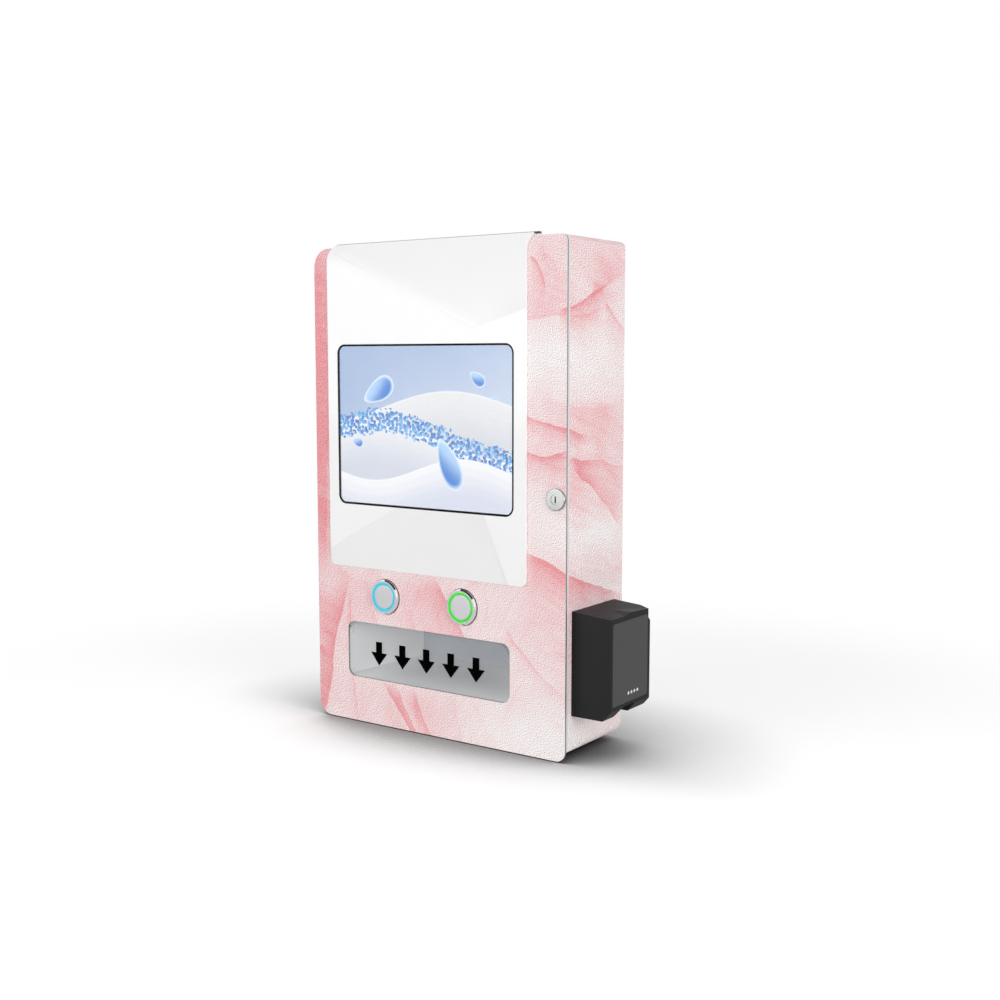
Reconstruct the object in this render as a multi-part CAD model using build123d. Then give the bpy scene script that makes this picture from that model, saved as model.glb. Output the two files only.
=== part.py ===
from build123d import *
import math
import os

# A small sanitary napkin vending machine with two columns, a screen, two lit buttons, a pick-up
# opening with a clear flap, and a card reader on its right side. All lengths are in millimetres.
# X runs to the right, Y to the back and Z up. While the pieces are drawn, X = 0 is the middle of
# the door, Y = 0 is the door's front face and Z = 0 is the door's bottom edge. The export moves
# them all so that the origin is at the middle of the machine's base.

# Allowances shared by all pieces
overrun = 1.0
running_gap = 0.3
slip_gap = 0.1
pin_gap = 0.08

# Door plate
door_w = 300.0
door_h = 475.0
door_t = 2.0
door_round_bottom_left = 15.0
door_round_bottom_right = 10.0
door_round_top_right = 6.0
door_round_top_left = 18.0

# Case of folded sheet behind the door
door_overlap = 1.0
door_overhang = 4.9
door_rise = 0.2
seal_gap = 1.0
wall = 1.2
rear_round_top = 4.5
rear_round_bottom = 9.0
front_lip = 11.2
front_lip_round = 4.0
rear_lip = 16.0
rear_panel_t = 1.5

# Wall fixing holes, panel screws and cable entry in the rear panel
wall_hole_r = 3.0
wall_hole_spacing_x = 250.0
wall_hole_low = 60.0
wall_hole_top_gap = 54.8
panel_screw_r = 1.9
panel_screw_head_r = 3.4
panel_screw_head_t = 1.8
panel_screw_inset = 8.0
panel_screw_rows = 3
grommet_inset_x = 37.0
grommet_z = 46.0
grommet_bore_r = 4.0
grommet_neck_r = 7.0
grommet_rim_r = 9.5
grommet_inner_rim_t = 1.5

# Rubber feet
foot_r = 8.0
foot_clear = 1.2
foot_inset_x = 28.0
foot_inset_y = 18.0
foot_chamfer = 1.0
foot_screw_r = 1.9
foot_screw_head_r = 3.6
foot_screw_head_t = 2.0
foot_screw_seat = 1.4
foot_screw_tip = 3.0

# Piano hinge on the left
hinge_inset = 22.5
hinge_knuckles = 9
hinge_pin_r = 1.0
hinge_knuckle_r = 2.0
hinge_leaf_t = 0.9
hinge_leaf_w = 13.0
hinge_end_gap = 0.4

# Rubber seal on the case's front lip
seal_w = 7.0
seal_inset = 2.0
seal_air = 0.05

# White front cover of the door, with a lip over the door's top edge
cover_t = 2.4
cover_left_inset = 19.0
cover_right_inset = 42.3
cover_flare_inset = 28.5
cover_bottom = 158.3
cover_top_rise = 3.0
cover_round_top = 17.0
cover_round_bottom = 5.5
cover_flare_round = 16.0
facet_depth = 1.0
top_facet_start_in = 4.0
top_facet_start_drop = 6.0
top_facet_apex_x = 53.0
top_facet_apex_drop = 83.0
top_facet_end_drop = 67.0
low_facet_rise = 15.7
low_facet_top_left = -44.0
low_facet_top_right = 61.0
low_facet_foot = 89.0

# Screen
screen_x = -12.4
screen_rise_share = 0.63358
screen_w = 212.4
screen_h = 157.9
screen_round = 9.0
screen_seal_w = 1.0
screen_seal_recess = 0.4
glass_recess = 0.8
glass_t = 1.1
panel_body_w = 225.6
panel_body_h = 176.4
panel_body_t = 7.5
clip_w = 12.0
clip_reach = 8.0
clip_foot = 10.0
clip_t = 1.2
clip_spread_share = 0.3
board_t = 1.6
screen_board_w = 150.0
screen_board_h = 100.0
standoff_r = 2.5
standoff_h = 6.5
standoff_inset = 6.0

# Lit push buttons
button_left_x = -60.9
button_right_x = 34.1
button_z = 131.4
bezel_r = 17.5
bezel_proud = 3.2
bezel_chamfer = 1.4
button_barrel_r = 14.9
button_barrel_end = 22.0
light_ring_r = 14.5
light_ring_bore_r = 12.3
light_ring_recess = 0.2
light_ring_depth = 4.2
cap_recess = 0.4
cap_t = 9.0
cap_edge = 0.6
stem_r = 3.0
press_travel = 2.0
button_nut_r = 17.0
button_nut_t = 3.6
contact_block_w = 20.0
contact_block_t = 11.0
contact_tab_w = 4.0
contact_tab_t = 0.8
contact_tab_length = 5.0

# Cam lock
lock_edge = 10.5
lock_z = 240.7
lock_head_r = 10.0
lock_head_proud = 2.2
lock_head_edge = 0.9
lock_barrel_r = 6.5
lock_barrel_end = 19.6
lock_core_r = 4.6
lock_core_recess = 0.4
lock_core_overlap = 0.4
keyway_w = 1.4
keyway_h = 6.0
keyway_depth = 8.0
lock_nut_across = 15.0
lock_nut_t = 4.0
cam_w = 9.0
cam_length = 30.0
cam_t = 2.0
cam_screw_r = 3.4
cam_screw_t = 2.0
lock_notch = 12.0
strike_t = 1.2
strike_gap = 0.5
strike_leg = 10.0
strike_reach = 14.0
strike_h = 20.0
strike_lift = 15.0

# Pick-up opening and its clear flap
window_left = -110.4
window_right = 88.8
window_bottom = 45.6
window_top = 102.4
window_round = 8.5
flap_t = 2.0
flap_gap = 0.7
flap_top_gap = 1.2
flap_round = 8.0
flap_top_round = 15.0
flap_pin_r = 1.2
flap_pin_drop = 6.9
flap_pin_depth = 3.6
flap_ear_w = 2.0
flap_ear_depth = 4.0
flap_ear_above = 1.5
flap_ear_below = 7.0
flap_bracket_t = 2.0
flap_bracket_h = 13.0
flap_bracket_depth = 5.0
flap_bracket_clear = 0.2

# Pick-up bin
bin_t = 1.0
bin_front_out = 8.1
bin_back_out = 36.4
bin_back_y = 80.0
bin_floor_front = 44.5
bin_floor_back = 57.0
bin_corner_round = 10.0
bin_lip_z = 103.0
bin_lip_end_y = 38.0
bin_top_gap = 0.5
bin_stand_w = 100.0
bin_stand_front = 34.0
bin_stand_back = 66.0
bin_stand_t = 1.5

# Shelf under the two columns
shelf_top = 96.0
shelf_front = 34.0
shelf_ledge = 44.0
shelf_flange = 15.0

# Columns that hold the napkin packs
column_x = -10.8
column_gap = 12.0
column_w = 88.0
column_front = 40.0
column_depth = 55.0
column_t = 1.0
column_top_gap = 18.6
column_front_lip = 10.0
column_exit_h = 17.0
column_back_lift = 15.3
column_rail_t = 4.3
column_rail_h = 14.0
column_rail_rise = 84.0
column_rail_drop = 55.0

# Ejectors: a blade behind the lowest pack, pushed by a rack and pinion
blade_t = 2.0
blade_h = 13.6
blade_side_gap = 0.5
rack_bottom = 6.0
rack_h = 6.0
rack_back_w = 3.5
rack_front = 52.0
keel_w = 2.0
keel_h = 2.3
ejector_travel = 36.0
tooth_module = 1.0
pinion_teeth = 20
pressure_angle = 20.0
tooth_backlash = 0.1
tooth_root_share = 1.25
rack_phase_share = 0.5
flank_steps = 6
pinion_y = 58.0
hub_r = 4.0
hub_h = 1.5
shaft_r = 2.0
shaft_depth = 5.0
guide_w = 4.8
guide_front = 52.0
guide_end_gap = 3.0

# Gearmotors and their brackets
motor_bracket_z = 110.0
motor_bracket_t = 1.2
motor_bracket_front = 36.0
motor_bracket_back = 80.0
motor_bracket_clear = 1.5
motor_bracket_toe = 7.0
motor_bracket_hole_r = 5.0
gearbox_r = 12.0
gearbox_h = 22.0
motor_r = 11.5
motor_h = 31.0
motor_cap_r = 5.0
motor_cap_h = 2.0

# Power supply and control board
supply_w = 36.0
supply_depth = 60.0
supply_h = 99.0
supply_back_gap = 2.3
supply_bottom = 190.0
supply_slot_w = 3.0
supply_slot_pitch = 9.0
supply_slot_length = 30.0
supply_slot_depth = 1.5
supply_slots = 8
terminal_h = 12.0
terminal_depth = 40.0
terminal_w = 14.0
control_board_back_gap = 4.3
control_board_depth = 68.0
control_board_top_gap = 73.6
control_board_h = 115.0
control_board_lift = 5.0
chip_h = 4.0
heatsink_h = 6.0
plug_h = 8.0

# Card reader on the right side
reader_front = 11.9
reader_back = 88.0
reader_proud = 41.2
reader_bottom = 41.2
reader_top = 138.2
reader_top_drop = 3.5
reader_foot_in = 8.2
reader_foot_rise = 9.0
reader_wall = 2.4
reader_edge = 2.0
reader_back_edge = 5.0
reader_crown_front = 36.0
reader_crown_peak = 48.0
reader_crown_back = 84.0
reader_crown_rise = 1.9
reader_step_in = 12.5
reader_step_y = 7.0
reader_step_low = 120.0
reader_step_high = 126.5
reader_slot_front = 32.5
reader_slot_back = 57.5
reader_slot_top = 51.0
reader_slot_deep = 24.0
reader_slot_round = 4.0
reader_face_t = 1.2
reader_face_inset = 4.0
reader_face_bottom = 54.0
reader_face_top = 130.0
reader_face_back = 80.0
reader_face_round = 2.5
reader_plate_t = 2.0
reader_plate_gap = 1.0
reader_board_inset = 4.0
reader_board_front_gap = 6.0
reader_board_back_gap = 12.0
reader_cable_r = 7.0
reader_screw_r = 1.9
reader_screw_head_r = 3.6
reader_screw_head_t = 1.8
reader_screw_inset = 10.0

# Places that follow from the sizes above
case_x = door_w / 2 - door_overlap
case_z0 = door_overhang
case_z1 = door_h - door_rise
case_y0 = door_t + seal_gap
column_inner = column_gap / 2
column_outer = column_inner + column_w
column_skin = column_outer + column_t
column_back = column_front + column_depth
rear_panel_y = column_back + column_t + column_rail_t
inner_y1 = rear_panel_y + rear_panel_t
case_y1 = inner_y1 + wall
inner_x = case_x - wall
inner_z0 = case_z0 + wall
inner_z1 = case_z1 - wall
foot_z = -foot_clear
lip_x = case_x - front_lip
grommet_x = -case_x + grommet_inset_x
hinge_x = -case_x - hinge_knuckle_r - running_gap
hinge_y = door_t + hinge_knuckle_r
hinge_z0 = hinge_inset
hinge_length = door_h - 2 * hinge_inset
cover_left = -door_w / 2 + cover_left_inset
cover_right = door_w / 2 - cover_right_inset
cover_flare = door_w / 2 - cover_flare_inset
cover_top = door_h + cover_top_rise
screen_z = screen_rise_share * door_h
button_xs = (button_left_x, button_right_x)
lock_x = door_w / 2 - lock_edge
window_x = (window_left + window_right) / 2
shelf_z0 = shelf_top - wall
column_top = inner_z1 - column_top_gap
rack_inner = column_skin + running_gap
rack_root = rack_inner + rack_back_w
tooth_root = tooth_root_share * tooth_module
rack_pitch = rack_root + tooth_root
pinion_r = tooth_module * pinion_teeth / 2
pinion_out = rack_pitch + pinion_r + slip_gap / 2
rack_z0 = shelf_top + rack_bottom
rack_z1 = rack_z0 + rack_h
guide_back = column_back - guide_end_gap
supply_front = rear_panel_y - supply_back_gap - supply_depth
control_board_front = rear_panel_y - control_board_back_gap - control_board_depth
control_board_bottom = inner_z1 - control_board_top_gap - control_board_h
sides = {"left": -1, "right": 1}
reader_x0 = case_x
reader_x1 = case_x + reader_proud
reader_y = (reader_front + reader_back) / 2
reader_z = (reader_bottom + reader_top) / 2


def block(x0, x1, y0, y1, z0, z1):
    """A box between two corners."""
    middle = Pos((x0 + x1) / 2, (y0 + y1) / 2, (z0 + z1) / 2)
    return middle * Box(abs(x1 - x0), abs(y1 - y0), abs(z1 - z0))


def rod_x(y, z, r, x0, x1):
    """A round bar along X."""
    return Pos((x0 + x1) / 2, y, z) * Rot(0, 90, 0) * Cylinder(r, abs(x1 - x0))


def rod_y(x, z, r, y0, y1):
    """A round bar along Y."""
    return Pos(x, (y0 + y1) / 2, z) * Rot(90, 0, 0) * Cylinder(r, abs(y1 - y0))


def rod_z(x, y, r, z0, z1):
    """A round bar along Z."""
    return Pos(x, y, (z0 + z1) / 2) * Cylinder(r, abs(z1 - z0))


def prism(points, along, length):
    """A solid whose section is an outline of 3-D points, drawn out along one direction."""
    return extrude(make_face(Polyline(*points, close=True)), amount=length, dir=along)


def round_along(solid, axis, places, radii):
    """Rounds the edges that run along an axis and lie nearest to the given places."""
    for place, radius in zip(places, radii):
        if radius > 0:
            edge = solid.edges().filter_by(axis).sort_by_distance(place)[0]
            solid = fillet(edge, radius)
    return solid


def upright_plate(x0, x1, z0, z1, y0, y1, radii):
    """A plate facing Y with its own corner radii: bottom left, bottom right, top right, top left."""
    y = (y0 + y1) / 2
    places = [(x0, y, z0), (x1, y, z0), (x1, y, z1), (x0, y, z1)]
    return round_along(block(x0, x1, y0, y1, z0, z1), Axis.Y, places, radii)


def solids_of(pieces):
    """Like pieces that share one node, as separate solids."""
    return Compound(children=[solid for piece in pieces for solid in piece.solids()])


def door_panel():
    """The door's steel plate with its openings."""
    radii = (door_round_bottom_left, door_round_bottom_right, door_round_top_right, door_round_top_left)
    plate = upright_plate(-door_w / 2, door_w / 2, 0, door_h, 0, door_t, radii)
    plate -= screen_shape(0, -overrun, door_t + overrun)
    window_radii = (window_round,) * 4
    plate -= upright_plate(
        window_left, window_right, window_bottom, window_top, -overrun, door_t + overrun, window_radii
    )
    for x in button_xs:
        plate -= rod_y(x, button_z, button_barrel_r + slip_gap, -overrun, door_t + overrun)
    plate -= rod_y(lock_x, lock_z, lock_barrel_r + slip_gap, -overrun, door_t + overrun)
    return plate


def screen_shape(inset, y0, y1):
    """The rounded outline of the screen opening, drawn in by an inset."""
    half_w = screen_w / 2 - inset
    half_h = screen_h / 2 - inset
    radii = (screen_round - inset,) * 4
    return upright_plate(
        screen_x - half_w, screen_x + half_w, screen_z - half_h, screen_z + half_h, y0, y1, radii
    )


def case_radii(inset):
    """The case's corner radii, which follow the door's."""
    radii = (door_round_bottom_left, door_round_bottom_right, door_round_top_right, door_round_top_left)
    return tuple(radius - door_overlap - inset for radius in radii)


def case_block(inset, y0):
    """The case's outer form drawn in by an inset, from one depth to the rear bends."""
    x = case_x - inset
    z0 = case_z0 + inset
    z1 = case_z1 - inset
    y1 = case_y1 - inset
    front = upright_plate(-x, x, z0, z1, y0, y1, case_radii(inset))
    side = block(-x, x, y0, y1, z0, z1)
    places = [(0, y1, z0), (0, y1, z1)]
    return front & round_along(side, Axis.X, places, (rear_round_bottom - inset, rear_round_top - inset))


def case_shell():
    """The folded case: top, bottom and sides with a front lip and a rear lip turned inwards."""
    shell = case_block(0, case_y0) - case_block(wall, case_y0 + wall)
    shell -= upright_plate(
        -lip_x, lip_x, case_z0 + front_lip, case_z1 - front_lip,
        case_y0 - overrun, case_y0 + wall + overrun, (front_lip_round,) * 4
    )
    shell -= block(
        -case_x + rear_lip, case_x - rear_lip, inner_y1 - overrun, case_y1 + overrun,
        case_z0 + rear_lip, case_z1 - rear_lip
    )
    shell -= block(
        lip_x - overrun, inner_x, case_y0 - overrun, case_y0 + wall + overrun,
        lock_z - lock_notch, lock_z + lock_notch
    )
    for x, z in panel_screw_places():
        shell -= rod_y(x, z, panel_screw_r + slip_gap, inner_y1 - overrun, case_y1 + overrun)
    for x, y in foot_places():
        shell -= rod_z(x, y, foot_screw_r + slip_gap, case_z0 - overrun, inner_z0 + overrun)
    shell -= rod_x(reader_y, reader_z, reader_cable_r, inner_x - overrun, case_x + overrun)
    for y, z in reader_screw_places():
        shell -= rod_x(y, z, reader_screw_r + slip_gap, inner_x - overrun, case_x + overrun)
    return shell


def panel_screw_places():
    """Screws up both sides of the rear panel, in the case's rear lip."""
    x = case_x - panel_screw_inset
    low = case_z0 + rear_lip + panel_screw_inset
    high = case_z1 - rear_lip - panel_screw_inset
    step = (high - low) / (panel_screw_rows - 1)
    return [(side * x, low + row * step) for side in (-1, 1) for row in range(panel_screw_rows)]


def wall_hole_places():
    """The four holes that take the screws into a wall."""
    return [
        (side * wall_hole_spacing_x / 2, z)
        for side in (-1, 1) for z in (wall_hole_low, case_z1 - wall_hole_top_gap)
    ]


def rear_panel():
    """The flat rear panel, screwed behind the case's rear lip."""
    x = inner_x - slip_gap
    z0 = inner_z0 + rear_round_bottom
    z1 = inner_z1 - rear_round_bottom
    panel = upright_plate(-x, x, z0, z1, rear_panel_y, inner_y1, case_radii(wall))
    for hole_x, z in panel_screw_places():
        panel -= rod_y(hole_x, z, panel_screw_r + slip_gap, rear_panel_y - overrun, inner_y1 + overrun)
    for hole_x, z in wall_hole_places():
        panel -= rod_y(hole_x, z, wall_hole_r, rear_panel_y - overrun, inner_y1 + overrun)
    panel -= rod_y(
        grommet_x, grommet_z, grommet_neck_r + slip_gap, rear_panel_y - overrun, inner_y1 + overrun
    )
    return panel


def rear_panel_screws():
    """Screws of the rear panel, driven from inside and flush with the rear lip."""
    screws = []
    for x, z in panel_screw_places():
        head = rod_y(x, z, panel_screw_head_r, rear_panel_y - panel_screw_head_t, rear_panel_y)
        shank = rod_y(x, z, panel_screw_r, rear_panel_y, case_y1)
        screws.append(head + shank)
    return solids_of(screws)


def cable_grommet():
    """The rubber ring that a power lead would pass through."""
    grommet = rod_y(grommet_x, grommet_z, grommet_rim_r, inner_y1, case_y1)
    grommet += rod_y(grommet_x, grommet_z, grommet_neck_r, rear_panel_y, inner_y1)
    rim_end = rear_panel_y - grommet_inner_rim_t
    grommet += rod_y(grommet_x, grommet_z, grommet_rim_r, rim_end, rear_panel_y)
    return grommet - rod_y(grommet_x, grommet_z, grommet_bore_r, rim_end - overrun, case_y1 + overrun)


def foot_places():
    """Where the four feet stand."""
    x = case_x - foot_inset_x
    return [(side * x, y) for side in (-1, 1) for y in (case_y0 + foot_inset_y, case_y1 - foot_inset_y)]


def feet():
    """Four rubber feet with a sunk screw in each."""
    blocks = []
    for x, y in foot_places():
        foot = rod_z(x, y, foot_r, foot_z, case_z0)
        rim = foot.faces().sort_by(Axis.Z)[0].edges()
        foot = chamfer(rim, foot_chamfer)
        foot -= rod_z(x, y, foot_screw_r + slip_gap, foot_z - overrun, case_z0 + overrun)
        seat = case_z0 - foot_screw_seat
        foot -= rod_z(x, y, foot_screw_head_r + slip_gap, foot_z - overrun, seat)
        blocks.append(foot)
    return solids_of(blocks)


def foot_screws():
    """The screws that hold the feet to the case's bottom."""
    screws = []
    seat = case_z0 - foot_screw_seat
    for x, y in foot_places():
        head = rod_z(x, y, foot_screw_head_r, seat - foot_screw_head_t, seat)
        screws.append(head + rod_z(x, y, foot_screw_r, seat, inner_z0 + foot_screw_tip))
    return solids_of(screws)


def hinge_knuckle(index):
    """One knuckle of the piano hinge, counted from the bottom."""
    pitch = hinge_length / hinge_knuckles
    z0 = hinge_z0 + index * pitch + hinge_end_gap / 2
    z1 = z0 + pitch - hinge_end_gap
    bore = rod_z(hinge_x, hinge_y, hinge_pin_r + pin_gap, z0 - overrun, z1 + overrun)
    return rod_z(hinge_x, hinge_y, hinge_knuckle_r, z0, z1), bore, z0, z1


def hinge_leaf_door():
    """The hinge leaf on the inside of the door, with every second knuckle."""
    edge = hinge_x + hinge_knuckle_r + running_gap
    leaf = block(
        edge, hinge_x + hinge_leaf_w, door_t, door_t + hinge_leaf_t, hinge_z0, hinge_z0 + hinge_length
    )
    for index in range(1, hinge_knuckles, 2):
        knuckle, bore, z0, z1 = hinge_knuckle(index)
        web = block(hinge_x, edge, door_t, door_t + hinge_leaf_t, z0, z1)
        leaf += (knuckle + web) - bore
    return leaf


def hinge_leaf_case():
    """The hinge leaf on the outside of the case's left wall, with the other knuckles."""
    edge = hinge_y + hinge_knuckle_r + running_gap
    leaf = block(
        -case_x - hinge_leaf_t, -case_x, edge, hinge_y + hinge_leaf_w, hinge_z0, hinge_z0 + hinge_length
    )
    for index in range(0, hinge_knuckles, 2):
        knuckle, bore, z0, z1 = hinge_knuckle(index)
        web = block(-case_x - hinge_leaf_t, -case_x, hinge_y, edge, z0, z1)
        leaf += (knuckle + web) - bore
    return leaf


def hinge_pin():
    """The long pin through all knuckles."""
    return rod_z(hinge_x, hinge_y, hinge_pin_r, hinge_z0, hinge_z0 + hinge_length)


def door_seal():
    """The rubber seal on the front lip along the top, the right side and the bottom."""
    y0 = door_t + seal_air
    x = case_x - seal_inset
    z0 = case_z0 + seal_inset
    z1 = case_z1 - seal_inset
    ring = upright_plate(-x, x, z0, z1, y0, case_y0, case_radii(seal_inset))
    ring -= block(
        -x - overrun, x - seal_w, y0 - overrun, case_y0 + overrun, z0 + seal_w, z1 - seal_w
    )
    ring -= block(
        -x - overrun, hinge_x + hinge_leaf_w + running_gap, y0 - overrun, case_y0 + overrun,
        z0 - overrun, z1 + overrun
    )
    ring -= block(
        x - seal_w - overrun, x + overrun, y0 - overrun, case_y0 + overrun,
        lock_z - lock_notch, lock_z + lock_notch
    )
    return ring


def facet_cut(points, flush_z, deep_z):
    """A shallow wedge that tilts part of the cover's face, flush at one height and deepest at another."""
    front = -cover_t - overrun
    area = prism([(x, front, z) for x, z in points], (0, 1, 0), overrun + facet_depth)
    wedge = prism(
        [
            (cover_left - overrun, front, flush_z),
            (cover_left - overrun, -cover_t, flush_z),
            (cover_left - overrun, -cover_t + facet_depth, deep_z),
            (cover_left - overrun, front, deep_z),
        ],
        (1, 0, 0), door_w
    )
    return area & wedge


def front_cover():
    """The white faceted front cover around the screen, which hooks over the door's top edge."""
    radii = (cover_round_bottom, 0, 0, cover_round_top)
    cover = upright_plate(cover_left, cover_flare, cover_bottom, cover_top, -cover_t, 0, radii)
    cover -= upright_plate(
        cover_right, cover_flare + cover_flare_round, cover_bottom - overrun, cover_top,
        -cover_t - overrun, overrun, (0, 0, 0, cover_flare_round)
    )
    corner = (cover_right, -cover_t / 2, cover_bottom)
    cover = round_along(cover, Axis.Y, [corner], [cover_round_bottom])
    cover -= screen_shape(0, -cover_t - overrun, overrun)
    lip_left = cover_left + cover_round_top
    cover += block(lip_left, cover_flare, 0, door_t, door_h, cover_top)
    start_x = cover_left + top_facet_start_in
    apex_z = cover_top - top_facet_apex_drop
    end_z = cover_top - top_facet_end_drop
    top_points = [
        (start_x, cover_top - top_facet_start_drop), (top_facet_apex_x, apex_z), (cover_right, end_z),
        (door_w / 2, end_z), (door_w / 2, cover_top), (start_x, cover_top)
    ]
    cover -= facet_cut(top_points, cover_top, apex_z)
    screen_bottom = screen_z - screen_h / 2
    low_points = [
        (cover_left - overrun, cover_bottom + low_facet_rise), (low_facet_top_left, screen_bottom),
        (low_facet_top_right, screen_bottom), (low_facet_foot, cover_bottom - overrun),
        (cover_left - overrun, cover_bottom - overrun)
    ]
    cover -= facet_cut(low_points, screen_bottom, cover_bottom - overrun)
    return cover


def screen_seal():
    """The thin black frame between the cover and the glass."""
    y0 = -cover_t + screen_seal_recess
    seal = screen_shape(slip_gap, y0, door_t)
    return seal - screen_shape(slip_gap + screen_seal_w, y0 - overrun, door_t + overrun)


def screen_glass():
    """The cover glass over the screen."""
    y0 = -cover_t + glass_recess
    return screen_shape(2 * slip_gap + screen_seal_w, y0, y0 + glass_t)


def screen_panel():
    """The flat display, whose face reaches forward through the door's opening."""
    y0 = -cover_t + glass_recess + glass_t
    face = screen_shape(2 * slip_gap + screen_seal_w, y0, door_t)
    body = block(
        screen_x - panel_body_w / 2, screen_x + panel_body_w / 2, door_t, door_t + panel_body_t,
        screen_z - panel_body_h / 2, screen_z + panel_body_h / 2
    )
    return face + body


def screen_clips():
    """Four stepped clips that hold the display against the door."""
    clips = []
    panel_back = door_t + panel_body_t
    for side in (-1, 1):
        for level in (-clip_spread_share, clip_spread_share):
            z = screen_z + level * panel_body_h
            edge = screen_x + side * (panel_body_w / 2 + slip_gap)
            out = edge + side * clip_t
            foot = out + side * clip_foot
            z0 = z - clip_w / 2
            z1 = z + clip_w / 2
            clip = block(edge, out, door_t, panel_back + clip_t, z0, z1)
            clip += block(out, foot, door_t, door_t + clip_t, z0, z1)
            clip += block(edge - side * clip_reach, out, panel_back, panel_back + clip_t, z0, z1)
            clips.append(clip)
    return solids_of(clips)


def screen_standoffs():
    """Four posts between the display and its driver board."""
    posts = []
    back = door_t + panel_body_t
    for side in (-1, 1):
        for level in (-1, 1):
            x = screen_x + side * (screen_board_w / 2 - standoff_inset)
            z = screen_z + level * (screen_board_h / 2 - standoff_inset)
            posts.append(rod_y(x, z, standoff_r, back, back + standoff_h))
    return solids_of(posts)


def screen_board():
    """The board that drives the display."""
    y0 = door_t + panel_body_t + standoff_h
    x = screen_board_w / 2
    z = screen_board_h / 2
    return block(screen_x - x, screen_x + x, y0, y0 + board_t, screen_z - z, screen_z + z)


def screen_board_parts():
    """Processor with its heat sink, memory chips and plugs on the display's board."""
    y0 = door_t + panel_body_t + standoff_h + board_t
    # each row: middle along the board, middle up the board, width, height, as shares of the board
    part_shares = [
        (-0.12, 0.05, 0.24, 0.34, heatsink_h), (0.20, 0.18, 0.12, 0.16, chip_h),
        (0.20, -0.12, 0.12, 0.16, chip_h), (-0.38, -0.30, 0.08, 0.24, plug_h),
        (0.38, 0.24, 0.08, 0.30, plug_h), (0.10, -0.40, 0.30, 0.10, plug_h)
    ]
    parts = []
    for x_share, z_share, w_share, h_share, depth in part_shares:
        x = screen_x + x_share * screen_board_w
        z = screen_z + z_share * screen_board_h
        half_w = w_share * screen_board_w / 2
        half_h = h_share * screen_board_h / 2
        parts.append(block(x - half_w, x + half_w, y0, y0 + depth, z - half_h, z + half_h))
    return solids_of(parts)


def button_bezels():
    """The metal bezel and threaded barrel of each button."""
    bezels = []
    for x in button_xs:
        flange = rod_y(x, button_z, bezel_r, -bezel_proud, 0)
        flange = chamfer(flange.faces().sort_by(Axis.Y)[0].edges(), bezel_chamfer)
        bezel = flange + rod_y(x, button_z, button_barrel_r, 0, button_barrel_end)
        ring_end = -bezel_proud + light_ring_recess + light_ring_depth
        bezel -= rod_y(x, button_z, light_ring_r + slip_gap, -bezel_proud - overrun, ring_end)
        bezel -= rod_y(x, button_z, light_ring_bore_r, ring_end - overrun, button_barrel_end + overrun)
        bezels.append(bezel)
    return solids_of(bezels)


def light_ring(x):
    """The clear ring that lights up round a button."""
    y0 = -bezel_proud + light_ring_recess
    ring = rod_y(x, button_z, light_ring_r, y0, y0 + light_ring_depth)
    return ring - rod_y(x, button_z, light_ring_bore_r, y0 - overrun, y0 + light_ring_depth + overrun)


def button_cap(x):
    """The pressed cap of a button with its stem."""
    y0 = -bezel_proud + cap_recess
    cap = rod_y(x, button_z, light_ring_bore_r - running_gap, y0, y0 + cap_t)
    cap = fillet(cap.faces().sort_by(Axis.Y)[0].edges(), cap_edge)
    stem_end = button_barrel_end - press_travel - running_gap
    return cap + rod_y(x, button_z, stem_r, y0 + cap_t, stem_end)


def button_nuts():
    """The ring nuts behind the door that clamp the buttons."""
    nuts = []
    for x in button_xs:
        nut = rod_y(x, button_z, button_nut_r, door_t, door_t + button_nut_t)
        nut -= rod_y(
            x, button_z, button_barrel_r + slip_gap, door_t - overrun, door_t + button_nut_t + overrun
        )
        nuts.append(nut)
    return solids_of(nuts)


def contact_blocks():
    """The switch block behind each button, with its two solder tabs."""
    blocks = []
    half = contact_block_w / 2
    end = button_barrel_end + contact_block_t
    for x in button_xs:
        body = block(x - half, x + half, button_barrel_end, end, button_z - half, button_z + half)
        for side in (-1, 1):
            tab_x = x + side * half / 2
            body += block(
                tab_x - contact_tab_w / 2, tab_x + contact_tab_w / 2, end, end + contact_tab_length,
                button_z - contact_tab_t / 2, button_z + contact_tab_t / 2
            )
        blocks.append(body)
    return solids_of(blocks)


def lock_barrel():
    """The lock's fixed barrel with its round head."""
    head = rod_y(lock_x, lock_z, lock_head_r, -lock_head_proud, 0)
    head = fillet(head.faces().sort_by(Axis.Y)[0].edges(), lock_head_edge)
    barrel = head + rod_y(lock_x, lock_z, lock_barrel_r, 0, lock_barrel_end)
    bore_r = lock_core_r + pin_gap
    return barrel - rod_y(lock_x, lock_z, bore_r, -lock_head_proud - overrun, lock_barrel_end + overrun)


def lock_core():
    """The turning core with its keyway."""
    front = -lock_head_proud + lock_core_recess
    core = rod_y(lock_x, lock_z, lock_core_r, front, lock_barrel_end + lock_core_overlap)
    return core - block(
        lock_x - keyway_w / 2, lock_x + keyway_w / 2, front - overrun, front + keyway_depth,
        lock_z - keyway_h / 2, lock_z + keyway_h / 2
    )


def lock_nut():
    """The six-sided nut behind the door."""
    half = lock_nut_across / 2
    corner = half / math.cos(math.pi / 6)
    points = []
    for step in range(6):
        angle = math.pi / 6 + step * math.pi / 3
        points.append((lock_x + corner * math.cos(angle), door_t, lock_z + corner * math.sin(angle)))
    nut = prism(points, (0, 1, 0), lock_nut_t)
    return nut - rod_y(
        lock_x, lock_z, lock_barrel_r + slip_gap, door_t - overrun, door_t + lock_nut_t + overrun
    )


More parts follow.
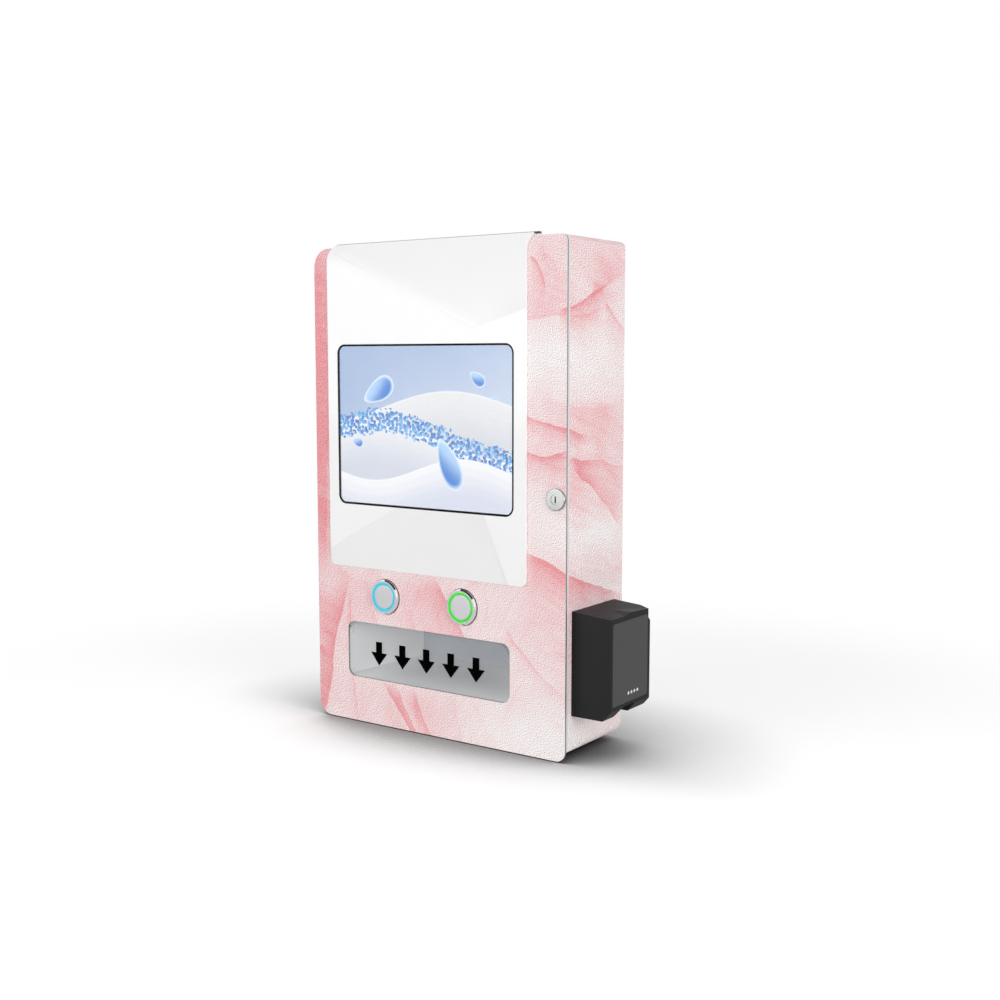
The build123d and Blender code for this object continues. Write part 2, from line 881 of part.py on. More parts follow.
def lock_cam():
    """The tongue on the back of the core, turned aside towards the middle of the door."""
    y0 = lock_barrel_end + lock_core_overlap
    cam = block(lock_x - cam_length, lock_x, y0, y0 + cam_t, lock_z - cam_w / 2, lock_z + cam_w / 2)
    return cam + rod_y(lock_x, lock_z, cam_w / 2, y0, y0 + cam_t)


def lock_cam_screw():
    """The screw that holds the tongue on the core."""
    y0 = lock_barrel_end + lock_core_overlap + cam_t
    return rod_y(lock_x, lock_z, cam_screw_r, y0, y0 + cam_screw_t)


def strike_plate():
    """The angle on the right wall that the lock's tongue catches behind."""
    cam_y = lock_barrel_end + lock_core_overlap
    y1 = cam_y - strike_gap
    z0 = lock_z + strike_lift
    z1 = z0 + strike_h
    leg = block(inner_x - strike_t, inner_x, y1 - strike_leg, y1, z0, z1)
    return leg + block(inner_x - strike_reach, inner_x, y1 - strike_t, y1, z0, z1)


def flap_pivot():
    """Depth and height of the flap's pins."""
    return flap_pin_depth, window_top - flap_pin_drop


def pickup_flap():
    """The clear lift-up flap in the pick-up opening, with an ear and a pin at each upper corner."""
    x0 = window_left + flap_gap
    x1 = window_right - flap_gap
    z0 = window_bottom + flap_gap
    z1 = window_top - flap_top_gap
    radii = (flap_round, flap_round, flap_top_round, flap_top_round)
    flap = upright_plate(x0, x1, z0, z1, 0, flap_t, radii)
    pivot_y, pivot_z = flap_pivot()
    pin_reach = flap_gap + flap_bracket_clear + flap_bracket_t + running_gap
    for side, end in ((-1, x0), (1, x1)):
        inner = end - side * flap_ear_w
        flap += block(
            inner, end, flap_t, flap_t + flap_ear_depth, pivot_z - flap_ear_below, pivot_z + flap_ear_above
        )
        flap += rod_x(pivot_y, pivot_z, flap_pin_r, inner, end + side * pin_reach)
    return flap


def flap_brackets():
    """The two ears behind the door that carry the flap's pins."""
    ears = []
    pivot_y, pivot_z = flap_pivot()
    for side, edge in ((-1, window_left), (1, window_right)):
        x0 = edge + side * flap_bracket_clear
        x1 = x0 + side * flap_bracket_t
        ear = block(
            x0, x1, door_t, door_t + flap_bracket_depth,
            pivot_z - flap_bracket_h / 2, pivot_z + flap_bracket_h / 2
        )
        bore_r = flap_pin_r + pin_gap
        ears.append(ear - rod_x(pivot_y, pivot_z, bore_r, x0 - side * overrun, x1 + side * overrun))
    return solids_of(ears)


def bin_slope(y):
    """Height of the bin's floor at a depth."""
    run = (y - case_y0) / (bin_back_y - case_y0)
    return bin_floor_front + run * (bin_floor_back - bin_floor_front)


def bin_block(inset, z0, z1):
    """The bin's form in plan: wide at the front and narrower at the back, with round corners."""
    front = (window_right - window_left) / 2 + bin_front_out - inset
    back = (window_right - window_left) / 2 - bin_back_out - inset
    y0 = case_y0 - (overrun if inset else 0)
    y1 = bin_back_y + bin_t - inset
    lean = (front - back) / (y1 - case_y0)
    wide = front + lean * (case_y0 - y0)
    points = [
        (window_x - wide, y0, z0), (window_x + wide, y0, z0),
        (window_x + back, y1, z0), (window_x - back, y1, z0)
    ]
    body = prism(points, (0, 0, 1), z1 - z0)
    middle = (z0 + z1) / 2
    places = [(window_x + back, y1, middle), (window_x - back, y1, middle)]
    radius = bin_corner_round - inset
    return round_along(body, Axis.Z, places, (radius, radius))


def bin_above(drop):
    """All the space over the bin's sloped floor, lowered by a drop."""
    x = -case_x
    y0 = case_y0 - overrun
    y1 = bin_back_y + bin_t + overrun
    top = bin_lip_z + overrun
    points = [(x, y0, bin_slope(y0) - drop), (x, y1, bin_slope(y1) - drop), (x, y1, top), (x, y0, top)]
    return prism(points, (1, 0, 0), 2 * case_x)


def pickup_bin():
    """The tray under the columns where a pack lands: sloped floor, leaning sides, open to the front."""
    low = case_z0
    shell = bin_block(0, low, bin_lip_z) & bin_above(bin_t)
    shell -= bin_block(bin_t, low, bin_lip_z + overrun) & bin_above(0)
    x = -case_x
    rim = shelf_z0 - bin_top_gap
    end = bin_back_y + bin_t + overrun
    points = [
        (x, case_y0 - overrun, bin_lip_z), (x, bin_lip_end_y, rim), (x, end, rim),
        (x, end, bin_lip_z + overrun), (x, case_y0 - overrun, bin_lip_z + overrun)
    ]
    return shell - prism(points, (1, 0, 0), 2 * case_x)


def bin_stand():
    """The bent bracket that carries the bin from the case's bottom."""
    x = window_x - bin_stand_w / 2
    t = bin_stand_t
    y0 = bin_stand_front
    y1 = bin_stand_back
    points = [
        (x, y0, inner_z0), (x, y1, inner_z0), (x, y1, bin_slope(y1) - bin_t),
        (x, y0, bin_slope(y0) - bin_t), (x, y0, bin_slope(y0) - bin_t - t),
        (x, y1 - t, bin_slope(y1 - t) - bin_t - t), (x, y1 - t, inner_z0 + t), (x, y0, inner_z0 + t)
    ]
    return prism(points, (1, 0, 0), bin_stand_w)


def dispenser_shelf():
    """The shelf across the case that carries both columns and the ejectors."""
    x = inner_x - slip_gap
    y1 = rear_panel_y - running_gap
    shelf = block(-x, x, shelf_front, y1, shelf_z0, shelf_top)
    shelf -= block(
        column_x - column_skin, column_x + column_skin, shelf_front - overrun, shelf_ledge,
        shelf_z0 - overrun, shelf_top + overrun
    )
    for side in (-1, 1):
        shelf += block(side * x, side * (x - wall), shelf_front, y1, shelf_top, shelf_top + shelf_flange)
    return shelf


def column(side):
    """One upright channel for a stack of packs, open along its front, with narrow lips."""
    x0 = column_x + side * (column_inner - column_t)
    x1 = column_x + side * column_skin
    y0 = column_front - column_t
    y1 = column_back + column_t
    body = block(x0, x1, y0, y1, shelf_top, column_top)
    body -= block(
        x0 + side * column_t, x1 - side * column_t, column_front, column_back,
        shelf_top - overrun, column_top + overrun
    )
    body -= block(
        x0 + side * (column_t + column_front_lip), x1 - side * (column_t + column_front_lip),
        y0 - overrun, column_front + overrun, shelf_top - overrun, column_top + overrun
    )
    body -= block(
        x0 - side * overrun, x1 + side * overrun, y0 - overrun, column_front,
        shelf_top - overrun, shelf_top + column_exit_h
    )
    body -= block(
        x0 - side * overrun, x1 + side * overrun, column_back - slip_gap, y1 + overrun,
        shelf_top - overrun, shelf_top + column_back_lift
    )
    slot_front = column_back - ejector_travel - running_gap
    return body - block(
        x1 - side * (column_t + overrun), x1 + side * overrun, slot_front, y1 + overrun,
        rack_z0 - running_gap, rack_z1 + running_gap
    )


def column_rails():
    """Two bars on the rear panel that the columns are fixed to."""
    reach = column_outer
    rails = []
    for z in (shelf_top + column_rail_rise, column_top - column_rail_drop):
        rails.append(block(
            column_x - reach, column_x + reach, column_back + column_t, rear_panel_y, z, z + column_rail_h
        ))
    return solids_of(rails)


def rack_outline(side):
    """The toothed outline of a rack seen from above."""
    slope = math.tan(math.radians(pressure_angle))
    pitch = math.pi * tooth_module
    half = pitch / 4 - tooth_backlash / 2
    back = column_back + blade_t
    points = [(rack_inner, rack_front), (rack_root, rack_front)]
    tooth = math.ceil((rack_front - pinion_y) / pitch) + rack_phase_share
    while pinion_y + (tooth + rack_phase_share) * pitch < back:
        y = pinion_y + tooth * pitch
        foot = half + tooth_root * slope
        tip = half - tooth_module * slope
        points += [(rack_root, y - foot), (rack_pitch + tooth_module, y - tip)]
        points += [(rack_pitch + tooth_module, y + tip), (rack_root, y + foot)]
        tooth += 1
    points += [(rack_root, back), (rack_inner, back)]
    return [(column_x + side * out, y, rack_z0) for out, y in points]


def ejector(side):
    """The blade behind the lowest pack in one piece with its rack and the rack's keel."""
    body = prism(rack_outline(side), (0, 0, 1), rack_h)
    back = column_back + blade_t
    middle = column_x + side * (rack_inner + rack_back_w / 2)
    body += block(
        middle - keel_w / 2, middle + keel_w / 2, rack_front, back, rack_z0 - keel_h, rack_z0
    )
    blade_in = column_x + side * (column_inner + blade_side_gap)
    blade_out = column_x + side * (column_outer - blade_side_gap)
    z0 = shelf_top + running_gap
    body += block(blade_in, blade_out, column_back, back, z0, z0 + blade_h)
    return body + block(blade_out, column_x + side * rack_inner, column_back, back, rack_z0, rack_z1)


def rack_guides():
    """The grooved blocks on the shelf that the racks' keels run in."""
    guides = []
    for side in sides.values():
        middle = column_x + side * (rack_inner + rack_back_w / 2)
        inner = column_x + side * column_skin
        guide = block(
            inner, inner + side * guide_w, guide_front, guide_back, shelf_top, rack_z0 - running_gap
        )
        guides.append(guide - block(
            middle - keel_w / 2 - running_gap, middle + keel_w / 2 + running_gap,
            guide_front - overrun, guide_back + overrun, rack_z0 - keel_h - running_gap, rack_z0 + overrun
        ))
    return solids_of(guides)


def involute(angle):
    """The involute function of an angle in radians."""
    return math.tan(angle) - angle


def pinion_outline(x):
    """The outline of the pinion with involute teeth, seen from above."""
    base_r = pinion_r * math.cos(math.radians(pressure_angle))
    root_r = pinion_r - tooth_root
    tip_r = pinion_r + tooth_module
    half_pitch = math.pi / (2 * pinion_teeth) - tooth_backlash / (2 * pinion_r)
    rim = [base_r + (tip_r - base_r) * step / flank_steps for step in range(flank_steps + 1)]
    flank = [(r, half_pitch + involute(math.radians(pressure_angle)) - involute(math.acos(base_r / r)))
             for r in rim]
    flank = [(root_r, flank[0][1])] + flank
    tooth_shape = [(r, -angle) for r, angle in flank] + [(r, angle) for r, angle in reversed(flank)]
    points = []
    for tooth in range(pinion_teeth):
        middle = 2 * math.pi * tooth / pinion_teeth
        for r, turn in tooth_shape:
            angle = middle + turn
            points.append((x + r * math.cos(angle), pinion_y + r * math.sin(angle), rack_z0))
    return points


def pinion(side):
    """The drive pinion on its shaft."""
    x = column_x + side * pinion_out
    gear = prism(pinion_outline(x), (0, 0, 1), rack_h)
    gear += rod_z(x, pinion_y, hub_r, rack_z1, rack_z1 + hub_h)
    top = motor_bracket_z + motor_bracket_t + shaft_depth
    return gear + rod_z(x, pinion_y, shaft_r, rack_z1, top)


def motor_bracket(side):
    """The bent bridge over the pinion that the gearmotor sits on."""
    x = column_x + side * pinion_out
    x0 = column_x + side * (rack_pitch + tooth_module + motor_bracket_clear)
    x1 = x + side * gearbox_r
    t = motor_bracket_t
    y0 = motor_bracket_front
    y1 = motor_bracket_back
    z1 = motor_bracket_z + t
    bridge = block(x0, x1, y0, y1, shelf_top, z1)
    bridge -= block(x0 - side * overrun, x1 + side * overrun, y0 + t, y1 - t, shelf_top + t, motor_bracket_z)
    bridge -= block(
        x0 - side * overrun, x1 + side * overrun, y0 + t + motor_bracket_toe, y1 - t - motor_bracket_toe,
        shelf_top - overrun, shelf_top + t + overrun
    )
    return bridge - rod_z(x, pinion_y, motor_bracket_hole_r, motor_bracket_z - overrun, z1 + overrun)


def gearbox(side):
    """The round gear housing of a gearmotor."""
    x = column_x + side * pinion_out
    z0 = motor_bracket_z + motor_bracket_t
    body = rod_z(x, pinion_y, gearbox_r, z0, z0 + gearbox_h)
    bore_end = z0 + shaft_depth + running_gap
    return body - rod_z(x, pinion_y, shaft_r + pin_gap, z0 - overrun, bore_end)


def motor(side):
    """The motor can on top of its gear housing."""
    x = column_x + side * pinion_out
    z0 = motor_bracket_z + motor_bracket_t + gearbox_h
    can = rod_z(x, pinion_y, motor_r, z0, z0 + motor_h)
    return can + rod_z(x, pinion_y, motor_cap_r, z0 + motor_h, z0 + motor_h + motor_cap_h)


def power_supply():
    """The enclosed power supply on the left wall, with vent slots in its inner side."""
    x1 = -inner_x + supply_w
    body = block(
        -inner_x, x1, supply_front, supply_front + supply_depth, supply_bottom, supply_bottom + supply_h
    )
    y0 = supply_front + (supply_depth - supply_slot_length) / 2
    first = supply_bottom + (supply_h - (supply_slots - 1) * supply_slot_pitch) / 2
    for slot in range(supply_slots):
        z = first + slot * supply_slot_pitch
        body -= block(
            x1 - supply_slot_depth, x1 + overrun, y0, y0 + supply_slot_length,
            z - supply_slot_w / 2, z + supply_slot_w / 2
        )
    return body


def supply_terminals():
    """The terminal block under the power supply."""
    y0 = supply_front + (supply_depth - terminal_depth) / 2
    return block(
        -inner_x, -inner_x + terminal_w, y0, y0 + terminal_depth, supply_bottom - terminal_h, supply_bottom
    )


def control_board():
    """The control board, standing on the right wall."""
    x1 = inner_x - control_board_lift
    return block(
        x1 - board_t, x1, control_board_front, control_board_front + control_board_depth,
        control_board_bottom, control_board_bottom + control_board_h
    )


def control_board_posts():
    """Four posts between the right wall and the control board."""
    posts = []
    for y in (control_board_front + standoff_inset,
              control_board_front + control_board_depth - standoff_inset):
        for z in (control_board_bottom + standoff_inset,
                  control_board_bottom + control_board_h - standoff_inset):
            posts.append(rod_x(y, z, standoff_r, inner_x - control_board_lift, inner_x))
    return solids_of(posts)


def control_board_parts():
    """Chips, relays and plugs on the control board."""
    x1 = inner_x - control_board_lift - board_t
    # each row: middle along and up the board, depth and height, as shares of the board
    part_shares = [
        (0.50, 0.55, 0.30, 0.18, chip_h), (0.20, 0.80, 0.22, 0.16, plug_h),
        (0.55, 0.82, 0.26, 0.14, plug_h),
        (0.20, 0.30, 0.20, 0.28, heatsink_h), (0.60, 0.22, 0.50, 0.12, plug_h),
        (0.82, 0.55, 0.14, 0.24, chip_h)
    ]
    parts = []
    for y_share, z_share, d_share, h_share, height in part_shares:
        y = control_board_front + y_share * control_board_depth
        z = control_board_bottom + z_share * control_board_h
        half_d = d_share * control_board_depth / 2
        half_h = h_share * control_board_h / 2
        parts.append(block(x1 - height, x1, y - half_d, y + half_d, z - half_h, z + half_h))
    return solids_of(parts)


def reader_block(inset):
    """The card reader's form drawn in by an inset: sloped top, and a corner cut off underneath."""
    x0 = reader_x0
    x1 = reader_x1 - inset
    y0 = reader_front + inset
    z0 = reader_bottom + inset
    z1 = reader_top - inset
    points = [
        (x0, y0, z0), (x1 - reader_foot_in, y0, z0), (x1, y0, z0 + reader_foot_rise),
        (x1, y0, z1 - reader_top_drop), (x0, y0, z1)
    ]
    return prism(points, (0, 1, 0), reader_back - reader_front - 2 * inset)


def reader_crown():
    """The low swell along the outer edge of the reader's top."""
    low = reader_top - reader_top_drop
    points = [
        (reader_x0, reader_crown_front, low - overrun), (reader_x0, reader_crown_front, low),
        (reader_x0, reader_crown_peak, low + reader_crown_rise), (reader_x0, reader_crown_back, low),
        (reader_x0, reader_crown_back, low - overrun)
    ]
    return prism(points, (1, 0, 0), reader_proud)


def reader_step(grow):
    """What is cut off the reader's upper rear corner: an upright bevel that runs out downwards."""
    length = math.hypot(reader_step_in, reader_step_y)
    along = (reader_step_in / length, -reader_step_y / length)
    out = (reader_step_y / length, reader_step_in / length)
    corner_depth = reader_step_in * reader_step_y / length
    # start of the bevel's line on the rear face, drawn back by an overrun and inwards by the growth
    x = reader_x1 - reader_step_in - overrun * along[0] - grow * out[0]
    y = reader_back - overrun * along[1] - grow * out[1]
    top = reader_top + overrun
    profile = [
        (0, top), (0, reader_step_high - grow), (corner_depth + grow, reader_step_low - grow),
        (corner_depth + grow + overrun, reader_step_low - grow), (corner_depth + grow + overrun, top)
    ]
    points = [(x + depth * out[0], y + depth * out[1], z) for depth, z in profile]
    return prism(points, (along[0], along[1], 0), length + 2 * overrun + 2 * grow)


def reader_housing():
    """The card reader's black housing, hollow towards the case, with a card slot underneath."""
    housing = reader_block(0) + reader_crown()
    places = [(reader_x1, reader_front, reader_z), (reader_x1, reader_back, reader_z)]
    housing = round_along(housing, Axis.Z, places, (reader_edge, reader_back_edge))
    slot = block(
        reader_x1 - reader_slot_deep, reader_x1 + overrun, reader_slot_front, reader_slot_back,
        reader_bottom - overrun, reader_slot_top
    )
    places = [(reader_x1, y, reader_slot_top) for y in (reader_slot_front, reader_slot_back)]
    slot = round_along(slot, Axis.X, places, (reader_slot_round, reader_slot_round))
    pocket = reader_block(reader_wall) & block(
        reader_x0, reader_x1, reader_front, reader_back, reader_slot_top + reader_wall, reader_top
    )
    pocket -= reader_step(reader_wall)
    return housing - reader_step(0) - slot - pocket - reader_face_plate(slip_gap)


def reader_face_plate(grow):
    """The thin plate of the reader's flat front window, larger by a clearance when it is a recess."""
    y0 = reader_front + reader_face_inset - grow
    y1 = reader_face_back + grow
    z0 = reader_face_bottom - grow
    z1 = reader_face_top + grow
    plate = block(reader_x1 - reader_face_t, reader_x1, y0, y1, z0, z1)
    x = reader_x1 - reader_face_t / 2
    places = [(x, y, z) for y in (y0, y1) for z in (z0, z1)]
    return round_along(plate, Axis.X, places, (reader_face_round,) * 4)


def reader_board():
    """The reader's circuit board, flat against the inside of its front wall."""
    x1 = reader_x1 - reader_wall
    return block(
        x1 - board_t, x1, reader_front + reader_wall + reader_board_front_gap,
        reader_back - reader_wall - reader_board_back_gap,
        reader_face_bottom + reader_board_inset, reader_face_top - reader_board_inset
    )


def reader_screw_places():
    """The four screws that hold the reader's plate on the case."""
    y0 = reader_front + reader_wall + reader_screw_inset
    y1 = reader_back - reader_wall - reader_screw_inset
    z0 = reader_slot_top + reader_wall + reader_screw_inset
    z1 = reader_top - reader_wall - reader_screw_inset
    return [(y, z) for y in (y0, y1) for z in (z0, z1)]


def reader_plate():
    """The steel plate inside the reader that is screwed to the case."""
    gap = reader_wall + reader_plate_gap
    plate = block(
        reader_x0, reader_x0 + reader_plate_t, reader_front + gap, reader_back - gap,
        reader_slot_top + gap, reader_top - gap
    )
    holes = (reader_x0 - overrun, reader_x0 + reader_plate_t + overrun)
    plate -= rod_x(reader_y, reader_z, reader_cable_r, *holes)
    for y, z in reader_screw_places():
        plate -= rod_x(y, z, reader_screw_r + slip_gap, *holes)
    return plate


def reader_screws():
    """The screws from inside the case into the reader's plate."""
    screws = []
    for y, z in reader_screw_places():
        head = rod_x(y, z, reader_screw_head_r, inner_x - reader_screw_head_t, inner_x)
        screws.append(head + rod_x(y, z, reader_screw_r, inner_x, reader_x0 + reader_plate_t))
    return solids_of(screws)


def all_nodes():
    """Every piece of the machine under its node name."""
    nodes = {
        "case_shell": case_shell(),
        "rear_panel": rear_panel(),
        "rear_panel_screws": rear_panel_screws(),
        "cable_grommet": cable_grommet(),
        "feet": feet(),
        "foot_screws": foot_screws(),
        "hinge_leaf_case": hinge_leaf_case(),
        "hinge_pin": hinge_pin(),
        "door_seal": door_seal(),
        "strike_plate": strike_plate(),
        "dispenser_shelf": dispenser_shelf(),
        "column_rails": column_rails(),
        "rack_guides": rack_guides(),
        "pickup_bin": pickup_bin(),
        "bin_stand": bin_stand(),
        "power_supply": power_supply(),
        "supply_terminals": supply_terminals(),
        "control_board": control_board(),
        "control_board_posts": control_board_posts(),
        "control_board_parts": control_board_parts(),
        "reader_plate": reader_plate(),
        "reader_housing": reader_housing(),
        "reader_face": reader_face_plate(0),
        "reader_board": reader_board(),
        "reader_screws": reader_screws(),
        "gearboxes": solids_of([gearbox(side) for side in sides.values()]),
        "motors": solids_of([motor(side) for side in sides.values()]),
        "door_panel": door_panel(),
        "hinge_leaf_door": hinge_leaf_door(),
        "front_cover": front_cover(),
        "screen_seal": screen_seal(),
        "screen_glass": screen_glass(),
        "screen_panel": screen_panel(),
        "screen_clips": screen_clips(),
        "screen_standoffs": screen_standoffs(),
        "screen_board": screen_board(),
        "screen_board_parts": screen_board_parts(),
        "button_bezels": button_bezels(),
        "button_nuts": button_nuts(),
        "contact_blocks": contact_blocks(),
        "light_ring_left": light_ring(button_left_x),
        "light_ring_right": light_ring(button_right_x),
        "button_cap_left": button_cap(button_left_x),
        "button_cap_right": button_cap(button_right_x),
        "lock_barrel": lock_barrel(),
        "lock_nut": lock_nut(),
        "lock_core": lock_core(),
        "lock_cam": lock_cam(),
        "lock_cam_screw": lock_cam_screw(),
        "flap_brackets": flap_brackets(),
        "pickup_flap": pickup_flap(),
    }
    for name, side in sides.items():
        nodes[f"column_{name}"] = column(side)
        nodes[f"ejector_{name}"] = ejector(side)
        nodes[f"pinion_{name}"] = pinion(side)
        nodes[f"motor_bracket_{name}"] = motor_bracket(side)
    return nodes


# The machine's outer limits, which set the origin at the middle of its base
left_end = hinge_x - hinge_knuckle_r
origin_x = (left_end + reader_x1) / 2
origin_y = (case_y1 - bezel_proud) / 2
to_base = Pos(-origin_x, -origin_y, -foot_z)

os.makedirs("parts", exist_ok=True)
for name, piece in all_nodes().items():
    export_step(to_base * piece, f"parts/{name}.step")
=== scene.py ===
import math

import bmesh
import bpy
from mathutils import Matrix, Vector


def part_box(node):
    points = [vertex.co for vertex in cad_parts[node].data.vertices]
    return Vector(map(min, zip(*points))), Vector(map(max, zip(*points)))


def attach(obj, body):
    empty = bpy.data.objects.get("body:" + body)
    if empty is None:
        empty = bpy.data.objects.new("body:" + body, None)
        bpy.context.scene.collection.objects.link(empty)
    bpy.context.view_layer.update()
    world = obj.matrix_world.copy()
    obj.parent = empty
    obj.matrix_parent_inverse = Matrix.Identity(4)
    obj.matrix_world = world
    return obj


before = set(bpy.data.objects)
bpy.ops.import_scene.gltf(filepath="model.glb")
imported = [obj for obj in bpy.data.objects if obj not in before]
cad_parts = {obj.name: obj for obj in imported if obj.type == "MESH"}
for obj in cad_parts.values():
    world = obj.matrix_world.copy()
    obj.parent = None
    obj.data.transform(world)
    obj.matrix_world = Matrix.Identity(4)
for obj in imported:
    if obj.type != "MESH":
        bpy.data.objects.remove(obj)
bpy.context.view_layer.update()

# The case is folded sheet steel, galvanised inside. Outside it wears a glued film that is printed like
# pink crepe paper, with soft folds that run on round its corners; a pale band along its front rim is a
# painted highlight of the rim's rounded edge. On the unrolled sheet, across is the way round the corners
# and up is the height above the door's edge.
mm = 0.001
door_low, door_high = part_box("door_panel")
door_middle = (door_low.x + door_high.x) / 2


def hue(red, green, blue):
    """A colour as a screen shows it, 0 to 255, as the linear colour that a shader takes."""
    shares = (red / 255, green / 255, blue / 255)
    return tuple(s / 12.92 if s <= 0.04045 else ((s + 0.055) / 1.055) ** 2.4 for s in shares) + (1.0,)


def put(tree, kind, feeds=None, **settings):
    """Adds one shader node with its settings, then feeds its inputs with values or outputs."""
    item = tree.nodes.new("ShaderNode" + kind)
    for name, value in settings.items():
        setattr(item, name, value)
    for socket, value in (feeds or {}).items():
        if isinstance(value, bpy.types.NodeSocket):
            tree.links.new(value, item.inputs[socket])
        else:
            item.inputs[socket].default_value = value
    return item


def tree_of(*values):
    """The node tree that the outputs among some values belong to."""
    return next(value.id_data for value in values if isinstance(value, bpy.types.NodeSocket))


def reckon(operation, *terms):
    """One step of arithmetic on numbers or outputs."""
    return put(tree_of(*terms), "Math", dict(enumerate(terms)), operation=operation).outputs[0]


def plus(first, second):
    """A sum of two numbers."""
    return reckon("ADD", first, second)


def minus(first, second):
    """A difference of two numbers."""
    return reckon("SUBTRACT", first, second)


def times(first, second):
    """A product of two numbers."""
    return reckon("MULTIPLY", first, second)


def times_plus(first, second, third):
    """A product of the first two numbers, plus the third."""
    return reckon("MULTIPLY_ADD", first, second, third)


def vectors(operation, first, second=(0.0, 0.0, 0.0)):
    """One step of arithmetic on places; a length or a dot product comes out as a number."""
    done = put(tree_of(first, second), "VectorMath", {0: first, 1: second}, operation=operation).outputs
    return done["Value"] if operation in ("LENGTH", "DOT_PRODUCT") else done["Vector"]


def scaled(colour, by):
    """A colour made lighter or darker by a number."""
    return put(tree_of(colour), "VectorMath", {0: colour, "Scale": by}, operation="SCALE").outputs[0]


def point(*numbers):
    """A place put together from its numbers."""
    return put(tree_of(*numbers), "CombineXYZ", dict(enumerate(numbers))).outputs[0]


def parts(place):
    """The three numbers of a place or of a direction."""
    return put(tree_of(place), "SeparateXYZ", {0: place}).outputs


def own_place(tree):
    """The place of a surface point in the machine's own frame."""
    return put(tree, "TexCoord").outputs["Object"]


def from_door(place):
    """A place as seen from the middle of the door's lower front edge."""
    return parts(vectors("ADD", place, (-door_middle, -door_low.y, -door_low.z)))


def noise(place, scale, detail, roughness=0.5, warp=0.0, flat=False, output="Fac"):
    """Soft noise between 0 and 1, in space or on a flat sheet, as a number or as a colour."""
    feeds = {"Vector": place, "Scale": scale, "Detail": detail, "Roughness": roughness, "Distortion": warp}
    return put(tree_of(place), "TexNoise", feeds, noise_dimensions="2D" if flat else "3D").outputs[output]


def in_three(colour):
    """The red, green and blue parts of a colour."""
    return put(tree_of(colour), "SeparateColor", {0: colour}).outputs


def ease(value, start, end):
    """A smooth step from 0 at start to 1 at end."""
    feeds = {"Value": value, "From Min": start, "From Max": end}
    return put(tree_of(value), "MapRange", feeds, interpolation_type="SMOOTHSTEP").outputs["Result"]


def between(share, first, second):
    """Two numbers mixed by a share."""
    return put(tree_of(share), "Mix", {0: share, 2: first, 3: second}).outputs[0]


def blend(share, first, second):
    """Two colours mixed by a share."""
    return put(tree_of(share), "Mix", {0: share, 6: first, 7: second}, data_type="RGBA").outputs[2]


def shades(value, stops):
    """A colour ramp through stops of position and colour."""
    ramp = put(tree_of(value), "ValToRGB", {"Fac": value})
    marks = ramp.color_ramp.elements
    for _ in stops[2:]:
        marks.new(0.5)
    for mark, (position, colour) in zip(marks, stops):
        mark.position = position
        mark.color = colour
    return ramp.outputs["Color"]


def effect(name, inputs, outputs):
    """A named node group, empty but for its ends. An input's value tells its kind: four numbers are a
    colour, three a place, and one a number."""
    tree = bpy.data.node_groups.new(name, "ShaderNodeTree")
    for label, value in inputs.items():
        kind = {4: "Color", 3: "Vector", 1: "Float"}[len(value) if isinstance(value, tuple) else 1]
        socket = tree.interface.new_socket(label, in_out="INPUT", socket_type="NodeSocket" + kind)
        socket.default_value = value
    for label, kind in outputs.items():
        tree.interface.new_socket(label, in_out="OUTPUT", socket_type="NodeSocket" + kind)
    return tree, tree.nodes.new("NodeGroupInput").outputs, tree.nodes.new("NodeGroupOutput").inputs


# What a group for a whole surface gives.
surface = {"Color": "Color", "Roughness": "Float", "Height": "Float"}


def give(ends, feeds):
    """Links outputs to the named ends of a group or of a shader."""
    for name, value in feeds.items():
        value.id_data.links.new(value, ends[name])


def use(tree, group, feeds=None):
    """Places a node group in a material or in another group."""
    return put(tree, "Group", feeds, node_tree=group).outputs


def finish(name, plain=None):
    """A new material with its one shader, plain values set on the shader's own sockets."""
    material = bpy.data.materials.new(name)
    material.use_nodes = True
    shader = material.node_tree.nodes["Principled BSDF"]
    for socket, value in (plain or {}).items():
        shader.inputs[socket].default_value = value
    return material, material.node_tree, shader


def dress(material, *names):
    """Gives CAD nodes their material."""
    for name in names:
        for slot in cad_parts[name].material_slots:
            slot.material = material


def bump(shader, height, depth):
    """Raises a surface by a height between 0 and 1, times a depth in metres."""
    raised = put(tree_of(height), "Bump", {"Height": height, "Distance": depth, "Strength": 1.0})
    give(shader.inputs, {"Normal": raised.outputs["Normal"]})


def cover_with(shader, made, depth):
    """Gives a shader the colour, roughness and relief that a placed group makes."""
    give(shader.inputs, {"Base Color": made["Color"], "Roughness": made["Roughness"]})
    bump(shader, made["Height"], depth)


def paper_fold():
    """One fold of the paper: a line with a crisp edge on one side and a tint that fades on the other."""
    inputs = {"Across": 0, "Up": 0, "Start": 0, "Height": 0, "Slope": 0, "Bend": 0, "Length": 0.1,
              "Fade": 0.01, "Side": 1, "Edge": 0.0006}
    tree, given, out = effect("paper_fold", inputs, {"Mask": "Float"})
    along = minus(given["Across"], given["Start"])
    bent = times(times(along, along), given["Bend"])
    line = plus(times_plus(along, given["Slope"], given["Height"]), bent)
    off = times(minus(given["Up"], line), given["Side"])
    crisp = ease(off, times(given["Edge"], -1.0), given["Edge"])
    spent = reckon("DIVIDE", reckon("MAXIMUM", off, 0.0), given["Fade"])
    near = reckon("EXPONENT", times(spent, -1.0))
    wide = reckon("EXPONENT", times(spent, -0.28))
    soft = times_plus(near, 0.62, times(wide, 0.38))
    passed = reckon("DIVIDE", along, given["Length"])
    begin = ease(passed, 0.0, 0.12)
    end = ease(passed, 1.0, 0.7)
    give(out, {"Mask": times(times(crisp, soft), times(begin, end))})
    return tree


